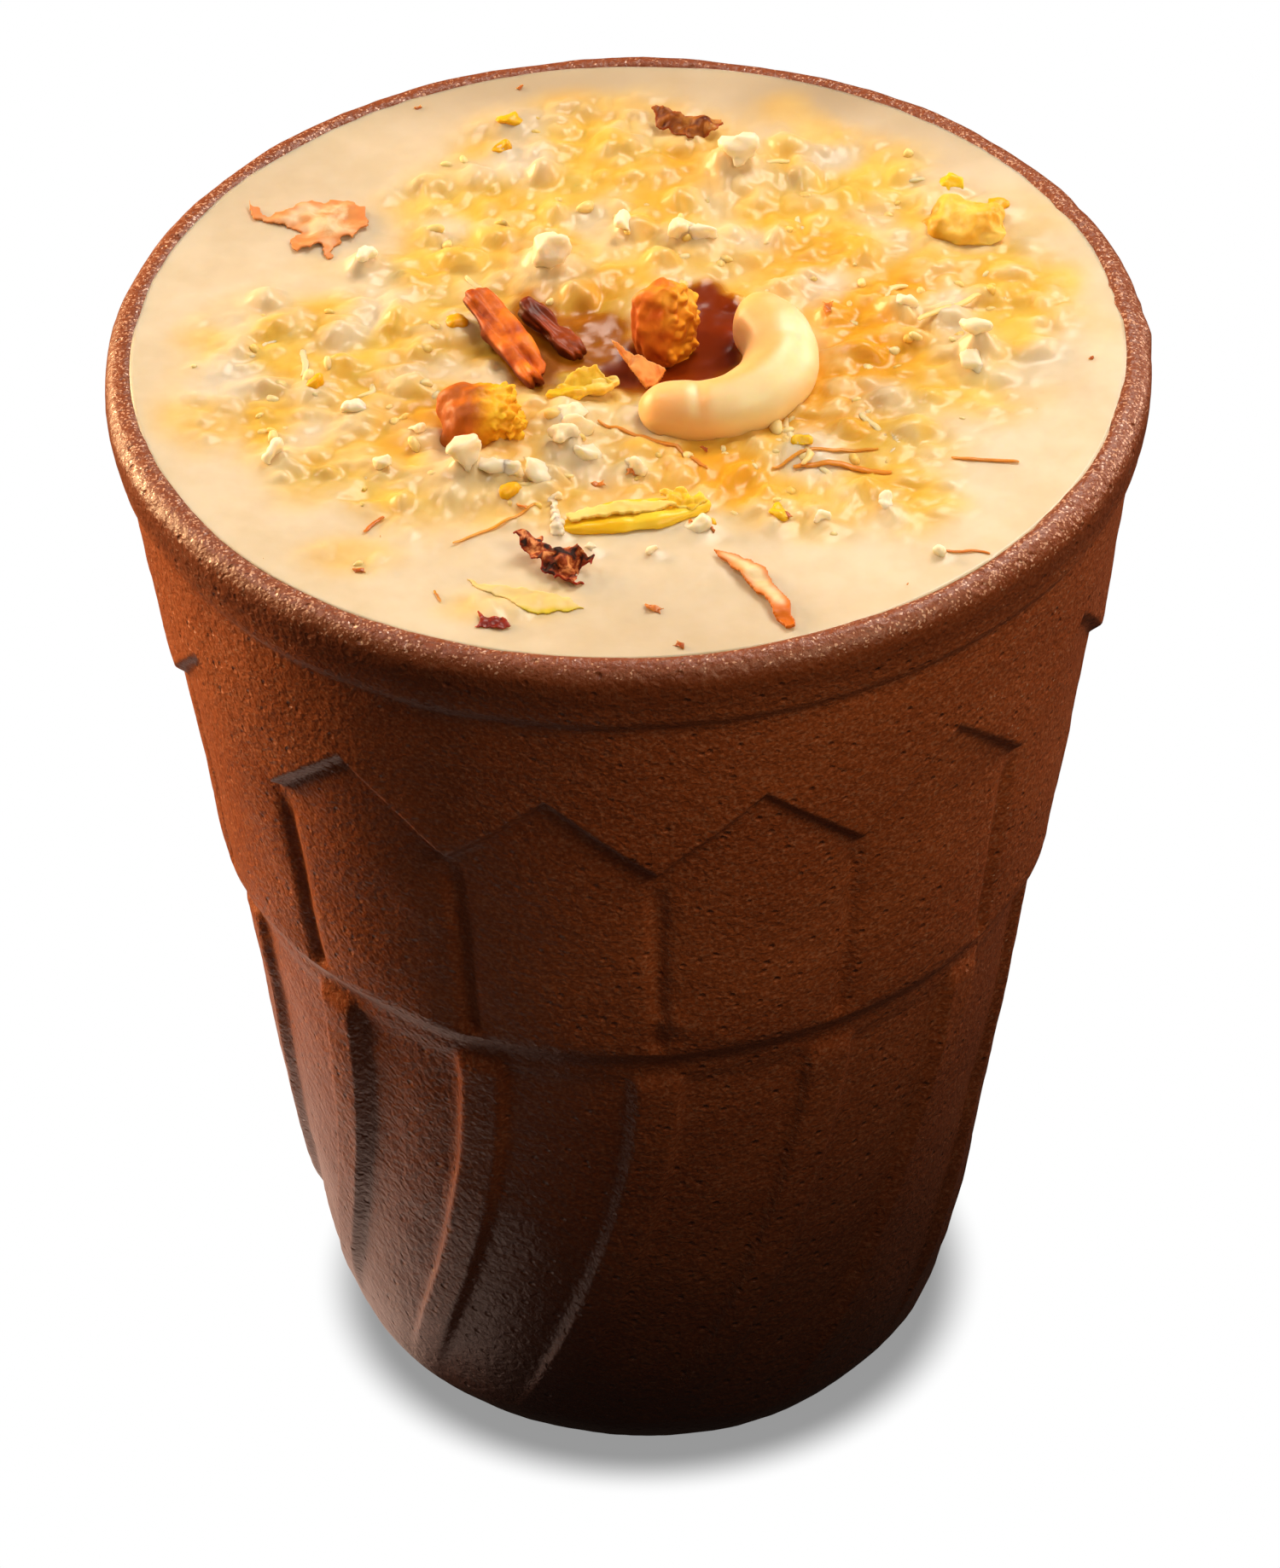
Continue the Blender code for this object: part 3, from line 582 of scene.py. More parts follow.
def yoghurtMaterial():
    # Thick cultured milk: light goes a little way in, so its edges stay soft, and its skin is wet.
    material, tree, shader, place = startMaterial("sweetYoghurtDrink", {
        "Roughness": 0.3, "IOR": 1.36, "Subsurface Weight": 0.35, "Subsurface Scale": 0.0022,
        "Subsurface Radius": (1.0, 0.66, 0.36)})
    tint = addNode(tree, "Attribute", {"attribute_name": "tint"})
    parts = addNode(tree, "SeparateColor", links={"Color": tint.outputs["Color"]})
    cloud = addNode(tree, "TexNoise", {"Scale": 300.0, "Detail": 4.0}, {"Vector": place})
    milk = addNode(tree, "ValToRGB", {"stops": drink["milkColours"]}, {"Fac": cloud.outputs["Fac"]})
    yellow = addNode(tree, "ValToRGB", {"stops": drink["yellowColours"]}, {"Fac": cloud.outputs["Fac"]})
    # painted shade on the milk, from the alpha of the tint
    dull = addNode(tree, "Mix", {"data_type": "RGBA", 7: drink["shadeColour"]},
                   {"Factor": tint.outputs["Alpha"], 6: milk.outputs["Color"]})
    cream = addNode(tree, "Mix", {"data_type": "RGBA"},
                    {"Factor": parts.outputs["Red"], 6: dull.outputs[2], 7: yellow.outputs["Color"]})
    amber = addNode(tree, "Mix", {"data_type": "RGBA", 7: drink["amberColour"]},
                    {"Factor": parts.outputs["Green"], 6: cream.outputs[2]})
    syrupAndShade = addNode(tree, "Mix", {"data_type": "RGBA", 7: drink["syrupAndShadeColour"]},
                    {"Factor": parts.outputs["Blue"], 6: amber.outputs[2]})
    fine = addNode(tree, "TexNoise", {"Scale": 1100.0, "Detail": 3.0}, {"Vector": place})
    bump = addNode(tree, "Bump", {"Strength": 0.2, "Distance": 0.00006}, {"Height": fine.outputs["Fac"]})
    milkRoughness, syrupRoughness = drink["roughness"]
    gloss = addNode(tree, "MapRange", {"To Min": milkRoughness, "To Max": syrupRoughness},
                    {"Value": parts.outputs["Blue"]})
    tree.links.new(gloss.outputs["Result"], shader.inputs["Roughness"])
    tree.links.new(syrupAndShade.outputs[2], shader.inputs["Base Color"])
    tree.links.new(bump.outputs["Normal"], shader.inputs["Normal"])
    return material


lassiDrink = modelDrink()
tintDrink(lassiDrink)
finishPiece(lassiDrink, yoghurtMaterial(), "drink", "lassi")
surface = BVHTree.FromObject(lassiDrink, bpy.context.evaluated_depsgraph_get())


def drinkTop(x, y):
    hit = surface.ray_cast(Vector((x, y, 110)) * mm, Vector((0, 0, -1)))[0]
    return hit.z / mm


# Chopped nuts and shreds lie thick on the drink.
def inTheClear(x, y, room=0.0):
    return all(math.hypot((x - cx) / (rx + room), (y - cy) / (ry + room)) > 1
               for cx, cy, rx, ry in scatter["keepClear"])


def chopped(seed, faces, cut):  # one bit of nut, a ball cut by a few planes and worn soft, 2 units wide
    dice = random.Random(seed)
    bpy.ops.mesh.primitive_ico_sphere_add(subdivisions=faces, radius=1)
    bit = bpy.context.object
    cuts = []
    for _ in range(7):
        normal = Vector((dice.gauss(0, 1), dice.gauss(0, 1), dice.gauss(0, 0.8))).normalized()
        cuts.append((normal, dice.uniform(*cut)))
    for vertex in bit.data.vertices:
        for normal, depth in cuts:
            over = vertex.co.dot(normal) - depth
            if over > 0:
                vertex.co -= normal * over
        vertex.co *= 1 + 0.22 * noise.noise(vertex.co * 1.6 + Vector((seed, 0, 0)))
        vertex.co.z *= 0.8
    bpy.ops.object.mode_set(mode="EDIT")
    bpy.ops.mesh.select_all(action="SELECT")
    bpy.ops.mesh.vertices_smooth(factor=0.5, repeat=faces)
    bpy.ops.object.mode_set(mode="OBJECT")
    bpy.ops.object.shade_smooth()
    return bit


def sliver(seed, length, width, rings):  # a shred lying along x, bent and tapered, sizes in mm
    bpy.ops.mesh.primitive_uv_sphere_add(segments=8, ring_count=rings, radius=1)
    shred = bpy.context.object
    for vertex in shred.data.vertices:
        along, side, up = vertex.co.z, vertex.co.x, vertex.co.y
        full = max(1 - along * along, 0.0) ** -0.25 if abs(along) < 0.995 else 1.0
        bend = noise.noise(Vector((along * 1.3, seed, 0))) * 0.22 * length
        lift = noise.noise(Vector((along * 1.6, seed, 7))) * 0.06 * length
        vertex.co = Vector((along * length / 2, side * full * width / 2 + bend,
                            up * full * width * 0.25 + lift))
    bpy.ops.object.shade_smooth()
    return shred


def paintPiece(piece, shade):  # one tint for a whole small piece: 0 dark to 1 pale
    colours = piece.data.color_attributes.new("tint", "FLOAT_COLOR", "POINT")
    for colour in colours.data:
        colour.color = (shade, shade, shade, 1.0)


def layCopies(models, places, name):  # places: x, y, half width, sink, lean, tint
    dice = random.Random(len(places))
    laid = []
    for x, y, size, sink, lean, shade in places:
        model = dice.choice(models)
        stretch = dice.uniform(1.0, 1.4)
        bit = model.copy()
        bit.data = model.data.copy()
        bpy.context.scene.collection.objects.link(bit)
        turn = Matrix.Rotation(dice.uniform(0, 6.28), 4, "Z")
        turn = turn @ Matrix.Rotation(dice.uniform(-lean, lean), 4, "Y")
        bit.data.transform(Matrix.Translation(Vector((x, y, drinkTop(x, y) + size * sink)) * mm)
                           @ Matrix.Scale(size * mm, 4) @ turn @ Matrix.Diagonal((stretch, 0.9, 0.85, 1)))
        paintPiece(bit, shade)
        laid.append(bit)
    joined = joinPieces(laid, name)
    for model in models:
        bpy.data.objects.remove(model)
    return joined


flesh = {  # the dark and the pale colour of each small bit
    "choppedNutFlesh": ("#f0c060", "#f9e0a4"),
    "brokenCashewFlesh": ("#f8dcac", "#fdf0d6"),
    "yellowFruitFlesh": ("#eda80c", "#f8c81e"),
    "shreddedNutFlesh": ("#f4cc78", "#fde6b0"),
    "saffronThread": ("#b4420c", "#f09a2c"),
    "driedPetalBits": ("#7a180c", "#e0782e"),
}


def nutMaterial(name):
    # Cut nut flesh: matt, a little see-through at thin edges.
    dark, pale = flesh[name]
    material, tree, shader, place = startMaterial(name, {
        "Roughness": 0.38, "IOR": 1.4, "Subsurface Weight": 0.55, "Subsurface Scale": 0.0014,
        "Subsurface Radius": (1.0, 0.72, 0.4)})
    tint = addNode(tree, "Attribute", {"attribute_name": "tint"})
    tone = addNode(tree, "Mix", {"data_type": "RGBA", 6: dark, 7: pale},
                   {"Factor": tint.outputs["Fac"]})
    fine = addNode(tree, "TexNoise", {"Scale": 2400.0, "Detail": 3.0}, {"Vector": place})
    bump = addNode(tree, "Bump", {"Strength": 0.3, "Distance": 0.00005}, {"Height": fine.outputs["Fac"]})
    tree.links.new(tone.outputs[2], shader.inputs["Base Color"])
    tree.links.new(bump.outputs["Normal"], shader.inputs["Normal"])
    return material


def randomPlaces(count, sizes, seed, room):
    dice = random.Random(seed)
    found = []
    while len(found) < count:
        x, y = dice.uniform(-36, 36), dice.uniform(-36, 36)
        size = dice.uniform(*sizes) * (0.8 + 0.4 * dice.random() ** 3)
        if math.hypot(x, y) < 35 and dice.random() < thickness(x, y) ** 2 and inTheClear(x, y, room):
            found.append((x, y, size))
    return found


def modelScatter():
    print("chopped nuts")
    dice = random.Random(4)
    models = [chopped(k, 2, (0.4, 0.8)) for k in range(scatter["nutModels"])]
    places = [(x, y, size, dice.uniform(-0.5, -0.05), 0.6, dice.random() ** 0.8)
              for x, y, size in randomPlaces(scatter["nuts"], scatter["nutSizes"], 8, 0.3)]
    nuts = layCopies(models, places, "choppedNuts")
    finishPiece(nuts, nutMaterial("choppedNutFlesh"), "cashew")
    models = [chopped(20 + k, 3, (0.35, 0.8)) for k in range(5)]
    places = [(x, y, size, 0.05, 0.7, dice.uniform(0.4, 1.0)) for x, y, size in scatter["bigNuts"]]
    big = layCopies(models, places, "brokenCashew")
    ruffle(big, ((1.0, 0.36), (0.5, 0.2), (0.22, 0.06)), 2.0)
    finishPiece(big, nutMaterial("brokenCashewFlesh"), "cashew")
    models = [chopped(40 + k, 3, (0.4, 0.8)) for k in range(3)]
    places = [(x, y, size * 0.9, -0.15, 0.5, dice.random()) for x, y, size in scatter["yellowBits"]]
    bits = layCopies(models, places, "yellowBits")
    ruffle(bits, ((0.9, 0.3), (0.4, 0.14)), 5.0)
    finishPiece(bits, nutMaterial("yellowFruitFlesh"), "yellow_fruit")
    models = [sliver(k, dice.uniform(3.0, 5.0), dice.uniform(0.45, 0.75), 10) for k in range(8)]
    places = [(x, y, 1.0, -0.1, 0.08, dice.random())
              for x, y, size in randomPlaces(scatter["shreds"], (1, 1), 15, 1.2)]
    shreds = layCopies(models, places, "paleShreds")
    finishPiece(shreds, nutMaterial("shreddedNutFlesh"), "almond")


modelScatter()

# Saffron and petal: thin strands and torn red bits.
strands = {
    "paths": (((-13.4, -23.5), (-11.5, -22.3), (-8.9, -20.8), (-7.0, -19.0)),
              ((10.6, -15.1), (13.6, -13.4), (16.2, -12.8), (18.7, -12.9)),
              ((12.2, -15.0), (15.1, -14.6), (17.4, -15.2), (19.6, -15.8)),
              ((24.1, -14.4), (26.4, -14.6), (29.2, -15.0)),
              ((22.4, -25.9), (24.0, -26.0), (25.6, -25.9), (26.6, -26.3)),
              ((-20.0, -21.9), (-19.4, -20.8), (-18.5, -19.9)),
              ((-14.8, -29.2), (-14.6, -29.7), (-14.3, -30.5)),
              ((-2.4, -8.8), (0.1, -10.5), (3.3, -12.2), (5.8, -15.0))),
    "widths": (0.16, 0.2, 0.32, 0.2, 0.15, 0.18, 0.1, 0.2),
    "tints": (0.8, 0.75, 0.7, 0.55, 0.3, 0.3, 0.4, 0.6),
}


def modelStrands():
    print("saffron strands")
    laid = []
    for path, width, shade in zip(strands["paths"], strands["widths"], strands["tints"]):
        bpy.ops.mesh.primitive_uv_sphere_add(segments=8, ring_count=24, radius=1)
        strand = bpy.context.object
        line = curveThrough(path, 12)
        for vertex in strand.data.vertices:
            along = (vertex.co.z + 1) / 2 * (len(line) - 1)
            k = min(int(along), len(line) - 2)
            x, y = (mix(line[k][i], line[k + 1][i], along - k) for i in (0, 1))
            ahead = Vector((line[k + 1][0] - line[k][0], line[k + 1][1] - line[k][1], 0)).normalized()
            side = Vector((-ahead.y, ahead.x, 0))
            full = max(1 - vertex.co.z ** 2, 0.02) ** -0.3
            lift = 0.12 + 0.15 * noise.noise(Vector((along / 5, width * 9, 0)))
            vertex.co = (Vector((x, y, drinkTop(x, y) + lift)) + side * vertex.co.x * full * width
                         + Vector((0, 0, vertex.co.y * full * width * 0.4))) * mm
        bpy.ops.object.shade_smooth()
        paintPiece(strand, shade)
        laid.append(strand)
    joined = joinPieces(laid, "saffronStrands")
    finishPiece(joined, nutMaterial("saffronThread"), "fruit_flake")


modelStrands()


# Thin torn pieces are cut from a fine sheet along an outline, then crumpled and given thickness.
def insideOutline(x, y, outline):
    inside, nearest = False, 1e9
    for (ax, ay), (bx, by) in zip(outline, outline[1:] + outline[:1]):
        if (ay > y) != (by > y) and x < ax + (y - ay) * (bx - ax) / (by - ay):
            inside = not inside
        run = max((bx - ax) ** 2 + (by - ay) ** 2, 1e-9)
        t = min(max(((x - ax) * (bx - ax) + (y - ay) * (by - ay)) / run, 0), 1)
        nearest = min(nearest, math.hypot(ax + t * (bx - ax) - x, ay + t * (by - ay) - y))
    return nearest if inside else -nearest


def cutSheet(name, look):  # its tint: red along the torn rim, green at the tip
    outline = list(look["outline"])
    xs, ys = [p[0] for p in outline], [p[1] for p in outline]
    cx, cy = sum(xs) / len(xs), sum(ys) / len(ys)
    wide, deep = max(xs) - min(xs) + 0.6, max(ys) - min(ys) + 0.6
    midX, midY = (max(xs) + min(xs)) / 2, (max(ys) + min(ys)) / 2
    cell = look.get("cell", 0.13)
    bpy.ops.mesh.primitive_grid_add(x_subdivisions=int(wide / cell), y_subdivisions=int(deep / cell),
                                    size=1)
    piece = bpy.context.object
    piece.name = name
    rims = []
    for vertex in piece.data.vertices:
        x, y = midX + vertex.co.x * wide, midY + vertex.co.y * deep
        fray = noise.noise_vector(Vector((x / 0.7, y / 0.7, look["seed"]))) * look["fray"]
        rims.append(insideOutline(x + fray.x, y + fray.y, outline))
        vertex.co = Vector((x, y, 0))
    activate(piece)
    bpy.ops.object.mode_set(mode="EDIT")
    bpy.ops.mesh.select_all(action="DESELECT")
    bpy.ops.object.mode_set(mode="OBJECT")
    slopeX, slopeY = look["slope"]
    tipX, tipY, alongX, alongY = look.get("dip", (0, 99, 0, 1))
    colours = piece.data.color_attributes.new("tint", "FLOAT_COLOR", "POINT")
    for vertex, rim, colour in zip(piece.data.vertices, rims, colours.data):
        vertex.select = rim < 0
        x, y = vertex.co.x, vertex.co.y
        beyond = (x - tipX) * alongX + (y - tipY) * alongY
        colour.color = (smooth(1 - rim / look["rim"]), smooth(0.5 + beyond), 0, 1)
        level = look["level"] + slopeX * (x - cx) + slopeY * (y - cy)
        for size, height in look["crumple"]:
            level += height * noise.noise(Vector((x / size, y / size, look["seed"] * 3)))
        vertex.co.z = max(level, drinkTop(x, y) + 0.05) if look.get("rest") else level
    bpy.ops.object.mode_set(mode="EDIT")
    bpy.ops.mesh.delete(type="VERT")
    bpy.ops.mesh.select_all(action="SELECT")
    bpy.ops.mesh.region_to_loop()
    bpy.ops.mesh.vertices_smooth(factor=0.5, repeat=3)
    bpy.ops.object.mode_set(mode="OBJECT")
    for vertex in piece.data.vertices:
        vertex.co *= mm
    solid = piece.modifiers.new("thickness", "SOLIDIFY")
    solid.thickness = look["thick"] * mm
    solid.offset = 0
    bpy.ops.object.modifier_apply(modifier=solid.name)
    bpy.ops.object.shade_smooth()
    return piece


def sheetMaterial(name, look):
    # Thin dried leaf or fruit skin: its colour follows the noise that raises its bumps, painted shade in
    # the low folds and painted highlights on the raised crinkles; its torn rim has a colour of its own.
    material, tree, shader, place = startMaterial(name, {
        "Roughness": look.get("roughness", 0.4), "IOR": 1.3, "Subsurface Weight": look["soft"],
        "Subsurface Scale": 0.0008, "Subsurface Radius": (1.0, 0.5, 0.25)})
    tint = addNode(tree, "Attribute", {"attribute_name": "tint"})
    parts = addNode(tree, "SeparateColor", links={"Color": tint.outputs["Color"]})
    cloud = addNode(tree, "TexNoise", {"Scale": look["scale"], "Detail": 5.0, "Distortion": 0.6},
                    {"Vector": place})
    # painted shade and highlight: the body colour runs dark to pale with the same noise as the bump
    body = addNode(tree, "ValToRGB", {"stops": look["body"]}, {"Fac": cloud.outputs["Fac"]})
    edged = addNode(tree, "Mix", {"data_type": "RGBA", 7: look["edge"]},
                    {"Factor": parts.outputs["Red"], 6: body.outputs["Color"]})
    tipped = addNode(tree, "Mix", {"data_type": "RGBA", 7: look.get("tip", look["edge"])},
                     {"Factor": parts.outputs["Green"], 6: edged.outputs[2]})
    bump = addNode(tree, "Bump", {"Strength": look["bump"], "Distance": 0.00012},
                   {"Height": cloud.outputs["Fac"]})
    tree.links.new(tipped.outputs[2], shader.inputs["Base Color"])
    tree.links.new(bump.outputs["Normal"], shader.inputs["Normal"])
    return material


# Sizes in mm. "crumple": width and height of the waves; "rim": width of the torn edge's colour;
# "dip": where the tip's colour starts and which way it grows; "cell": mesh size; "rest": it stays
# just above the drink.
sheets = {
    "petal_front": {
        "slot": "petal", "level": 92.85, "slope": (0.01, 0.2), "crumple": ((1.6, 1.3), (0.6, 0.45)),
        "seed": 3.0,
        "outline": (
            (-8.8, -24.3), (-8.2, -23.8), (-7.5, -23.7), (-6.9, -24.4), (-6.1, -25.4), (-5.5, -25.8),
            (-4.6, -25.5), (-3.9, -25.9), (-3.3, -26.3), (-2.5, -26.7), (-3.0, -27.2), (-3.7, -27.3),
            (-3.9, -27.8), (-3.4, -28.5), (-3.3, -28.7), (-4.2, -29.0), (-5.2, -28.9), (-6.0, -28.5),
            (-6.5, -27.7), (-7.1, -26.8), (-7.8, -26.1), (-8.5, -25.5)),
        "fray": 0.5, "rim": 0.22, "thick": 0.14, "scale": 1300.0, "bump": 0.9, "soft": 0.0,
        "roughness": 0.55, "cell": 0.1,
        # the palest stop is a painted highlight on the crinkles, the darkest painted shade in the folds
        "body": ((0.4, "#2a0c02"), (0.52, "#963a0c"), (0.65, "#ea9c5e")), "edge": "#a01c06"},
    "petal_back": {
        "slot": "petal", "level": 92.85, "slope": (0.01, 0.23), "crumple": ((1.8, 0.9), (0.6, 0.3)),
        "seed": 5.0,
        "outline": (
            (2.2, 30.2), (3.1, 30.6), (4.7, 29.4), (6.4, 29.2), (7.7, 29.3), (8.0, 28.4), (7.0, 27.6),
            (5.0, 27.1), (3.7, 27.8), (2.7, 28.9)),
        "fray": 0.4, "rim": 0.3, "thick": 0.16, "scale": 700.0, "bump": 0.6, "soft": 0.1,
        "body": ((0.38, "#5a2410"), (0.52, "#9a5a20"), (0.66, "#c58a44")), "edge": "#a04a22"},
    "almond_flake_front": {
        "slot": "almond", "level": 92.35, "slope": (0.0, 0.02), "crumple": ((2.4, 0.4), (0.8, 0.12)),
        "seed": 7.0,
        "outline": (
            (5.9, -25.4), (6.8, -25.7), (8.8, -26.7), (10.0, -28.1), (10.7, -30.2), (11.6, -31.8),
            (11.8, -33.6), (12.0, -34.9), (11.2, -35.2), (10.5, -34.1), (10.0, -32.5), (9.5, -31.2),
            (8.6, -30.1), (7.8, -28.6), (6.9, -27.1), (6.3, -26.4)),
        "fray": 0.16, "rim": 0.75, "thick": 0.22, "scale": 700.0, "bump": 0.5, "soft": 0.06,
        "dip": (10.6, -32.4, 0, -0.8), "body": ((0.35, "#e4c890"), (0.65, "#ead8b0")),
        "edge": "#d2700c", "tip": "#cc6a0e"},
    "almond_chip": {
        "slot": "almond", "level": 93.22, "slope": (0.03, 0.7), "crumple": ((1.4, 0.5), (0.5, 0.14)),
        "seed": 9.0,
        "outline": (
            (-1.4, -1.8), (0.0, -2.6), (1.6, -3.2), (3.0, -3.9), (2.5, -4.4), (2.0, -4.9), (1.3, -5.0),
            (0.7, -4.7), (0.4, -4.1), (-0.5, -3.0)),
        "fray": 0.2, "rim": 0.25, "thick": 0.5, "scale": 800.0, "bump": 0.5, "soft": 0.25, "cell": 0.1,
        "body": ((0.38, "#e87c34"), (0.6, "#fcb468")), "edge": "#f8a85c"},
    "pistachio_sliver_pale": {
        "slot": "pistachio", "level": 91.6, "slope": (0.0, 0.0), "crumple": ((3.0, 0.25), (0.8, 0.05)),
        "seed": 11.0, "rest": True,
        "outline": (
            (-12.5, -27.5), (-11.2, -28.2), (-9.0, -28.8), (-6.5, -29.4), (-4.6, -30.5), (-3.6, -31.8),
            (-5.2, -32.1), (-7.1, -32.3), (-8.3, -32.0), (-9.3, -30.7), (-11.2, -29.4), (-12.2, -28.5)),
        "fray": 0.25, "rim": 0.5, "thick": 0.14, "scale": 260.0, "bump": 0.2, "soft": 0.35,
        "dip": (-8.0, -31.6, 0.0, -1.6), "body": ((0.35, "#e6c47c"), (0.65, "#eed094")),
        "edge": "#e8cc8c", "tip": "#dcc038"},
    "fruit_flake_back": {
        "slot": "fruit_flake", "level": 92.15, "slope": (0.0, 0.02),
        "crumple": ((2.2, 0.4), (0.8, 0.12)), "seed": 13.0,
        "outline": (
            (-29.2, 20.9), (-28.6, 20.2), (-27.6, 18.8), (-26.1, 19.3), (-24.5, 20.4), (-21.8, 20.6),
            (-20.2, 19.6), (-19.7, 17.6), (-20.5, 15.7), (-21.8, 15.2), (-22.8, 13.0), (-23.3, 14.7),
            (-24.8, 14.2), (-25.4, 13.7), (-25.8, 15.2), (-25.1, 16.5), (-26.4, 17.4), (-28.1, 17.9),
            (-28.9, 19.4)),
        "fray": 0.5, "rim": 1.2, "thick": 0.16, "scale": 420.0, "bump": 0.4, "soft": 0.25,
        "body": ((0.4, "#dc9458"), (0.56, "#eccca0"), (0.7, "#f2d8b0")), "edge": "#dc8c50"},
}
redBits = {
    "outline": ((-0.7, 0.1), (-0.3, 0.35), (0.2, 0.3), (0.7, 0.45), (0.5, 0.05), (0.75, -0.4),
                (0.2, -0.3), (-0.3, -0.4)),  # of a bit with half width 1
    "turn": 2.9,  # radians from one bit to the next
    "look": {"slope": (0, 0.15), "crumple": ((0.6, 0.3),), "fray": 0.12, "rim": 0.1, "thick": 0.1,
             "cell": 0.09},
    # x, y, half width, tint from dark red to orange
    "places": ((-20.4, -26.4, 0.8, 0.3), (-10.4, -33.3, 2.1, 0.0), (1.4, -31.9, 1.2, 0.75),
               (3.3, -36.6, 0.9, 0.2), (11.6, -21.6, 0.8, 0.35), (6.0, -22.9, 0.7, 0.4),
               (4.4, -22.1, 0.6, 0.7), (15.3, 4.1, 1.2, 0.9), (35.2, -2.0, 0.6, 0.3),
               (20.4, -29.9, 0.35, 0.0), (-7.9, 35.2, 0.6, 0.4), (-15.9, 32.9, 0.6, 0.4),
               (-14.6, -29.7, 0.3, 0.3), (-2.5, -16.5, 1.0, 0.9), (0.2, -15.6, 1.0, 0.9),
               (-8.2, -19.6, 0.8, 0.95), (5.6, -12.4, 0.7, 0.2), (-27.5, -25.0, 0.25, 0.2),
               (-18.8, -22.4, 0.3, 0.5)),
}


def modelSheets():
    print("petals, flakes and slivers")
    for node, look in sheets.items():
        piece = cutSheet(node + "_look", look)
        finishPiece(piece, sheetMaterial(node + "_skin", look), look["slot"], node)
    laid = []
    for number, (x, y, size, shade) in enumerate(redBits["places"]):
        turn = number * redBits["turn"]
        along, across = size * math.cos(turn), size * math.sin(turn)
        outline = [(x + px * along - py * across, y + px * across + py * along)
                   for px, py in redBits["outline"]]
        bit = cutSheet("bit", {"outline": outline, "level": drinkTop(x, y) + 0.15,
                               "seed": number * 1.3, **redBits["look"]})
        for colour in bit.data.color_attributes["tint"].data:
            colour.color = (shade + 0.15 * colour.color[0],) * 3 + (1,)
        laid.append(bit)
    joined = joinPieces(laid, "redBits")
    finishPiece(joined, nutMaterial("driedPetalBits"), "petal")


modelSheets()

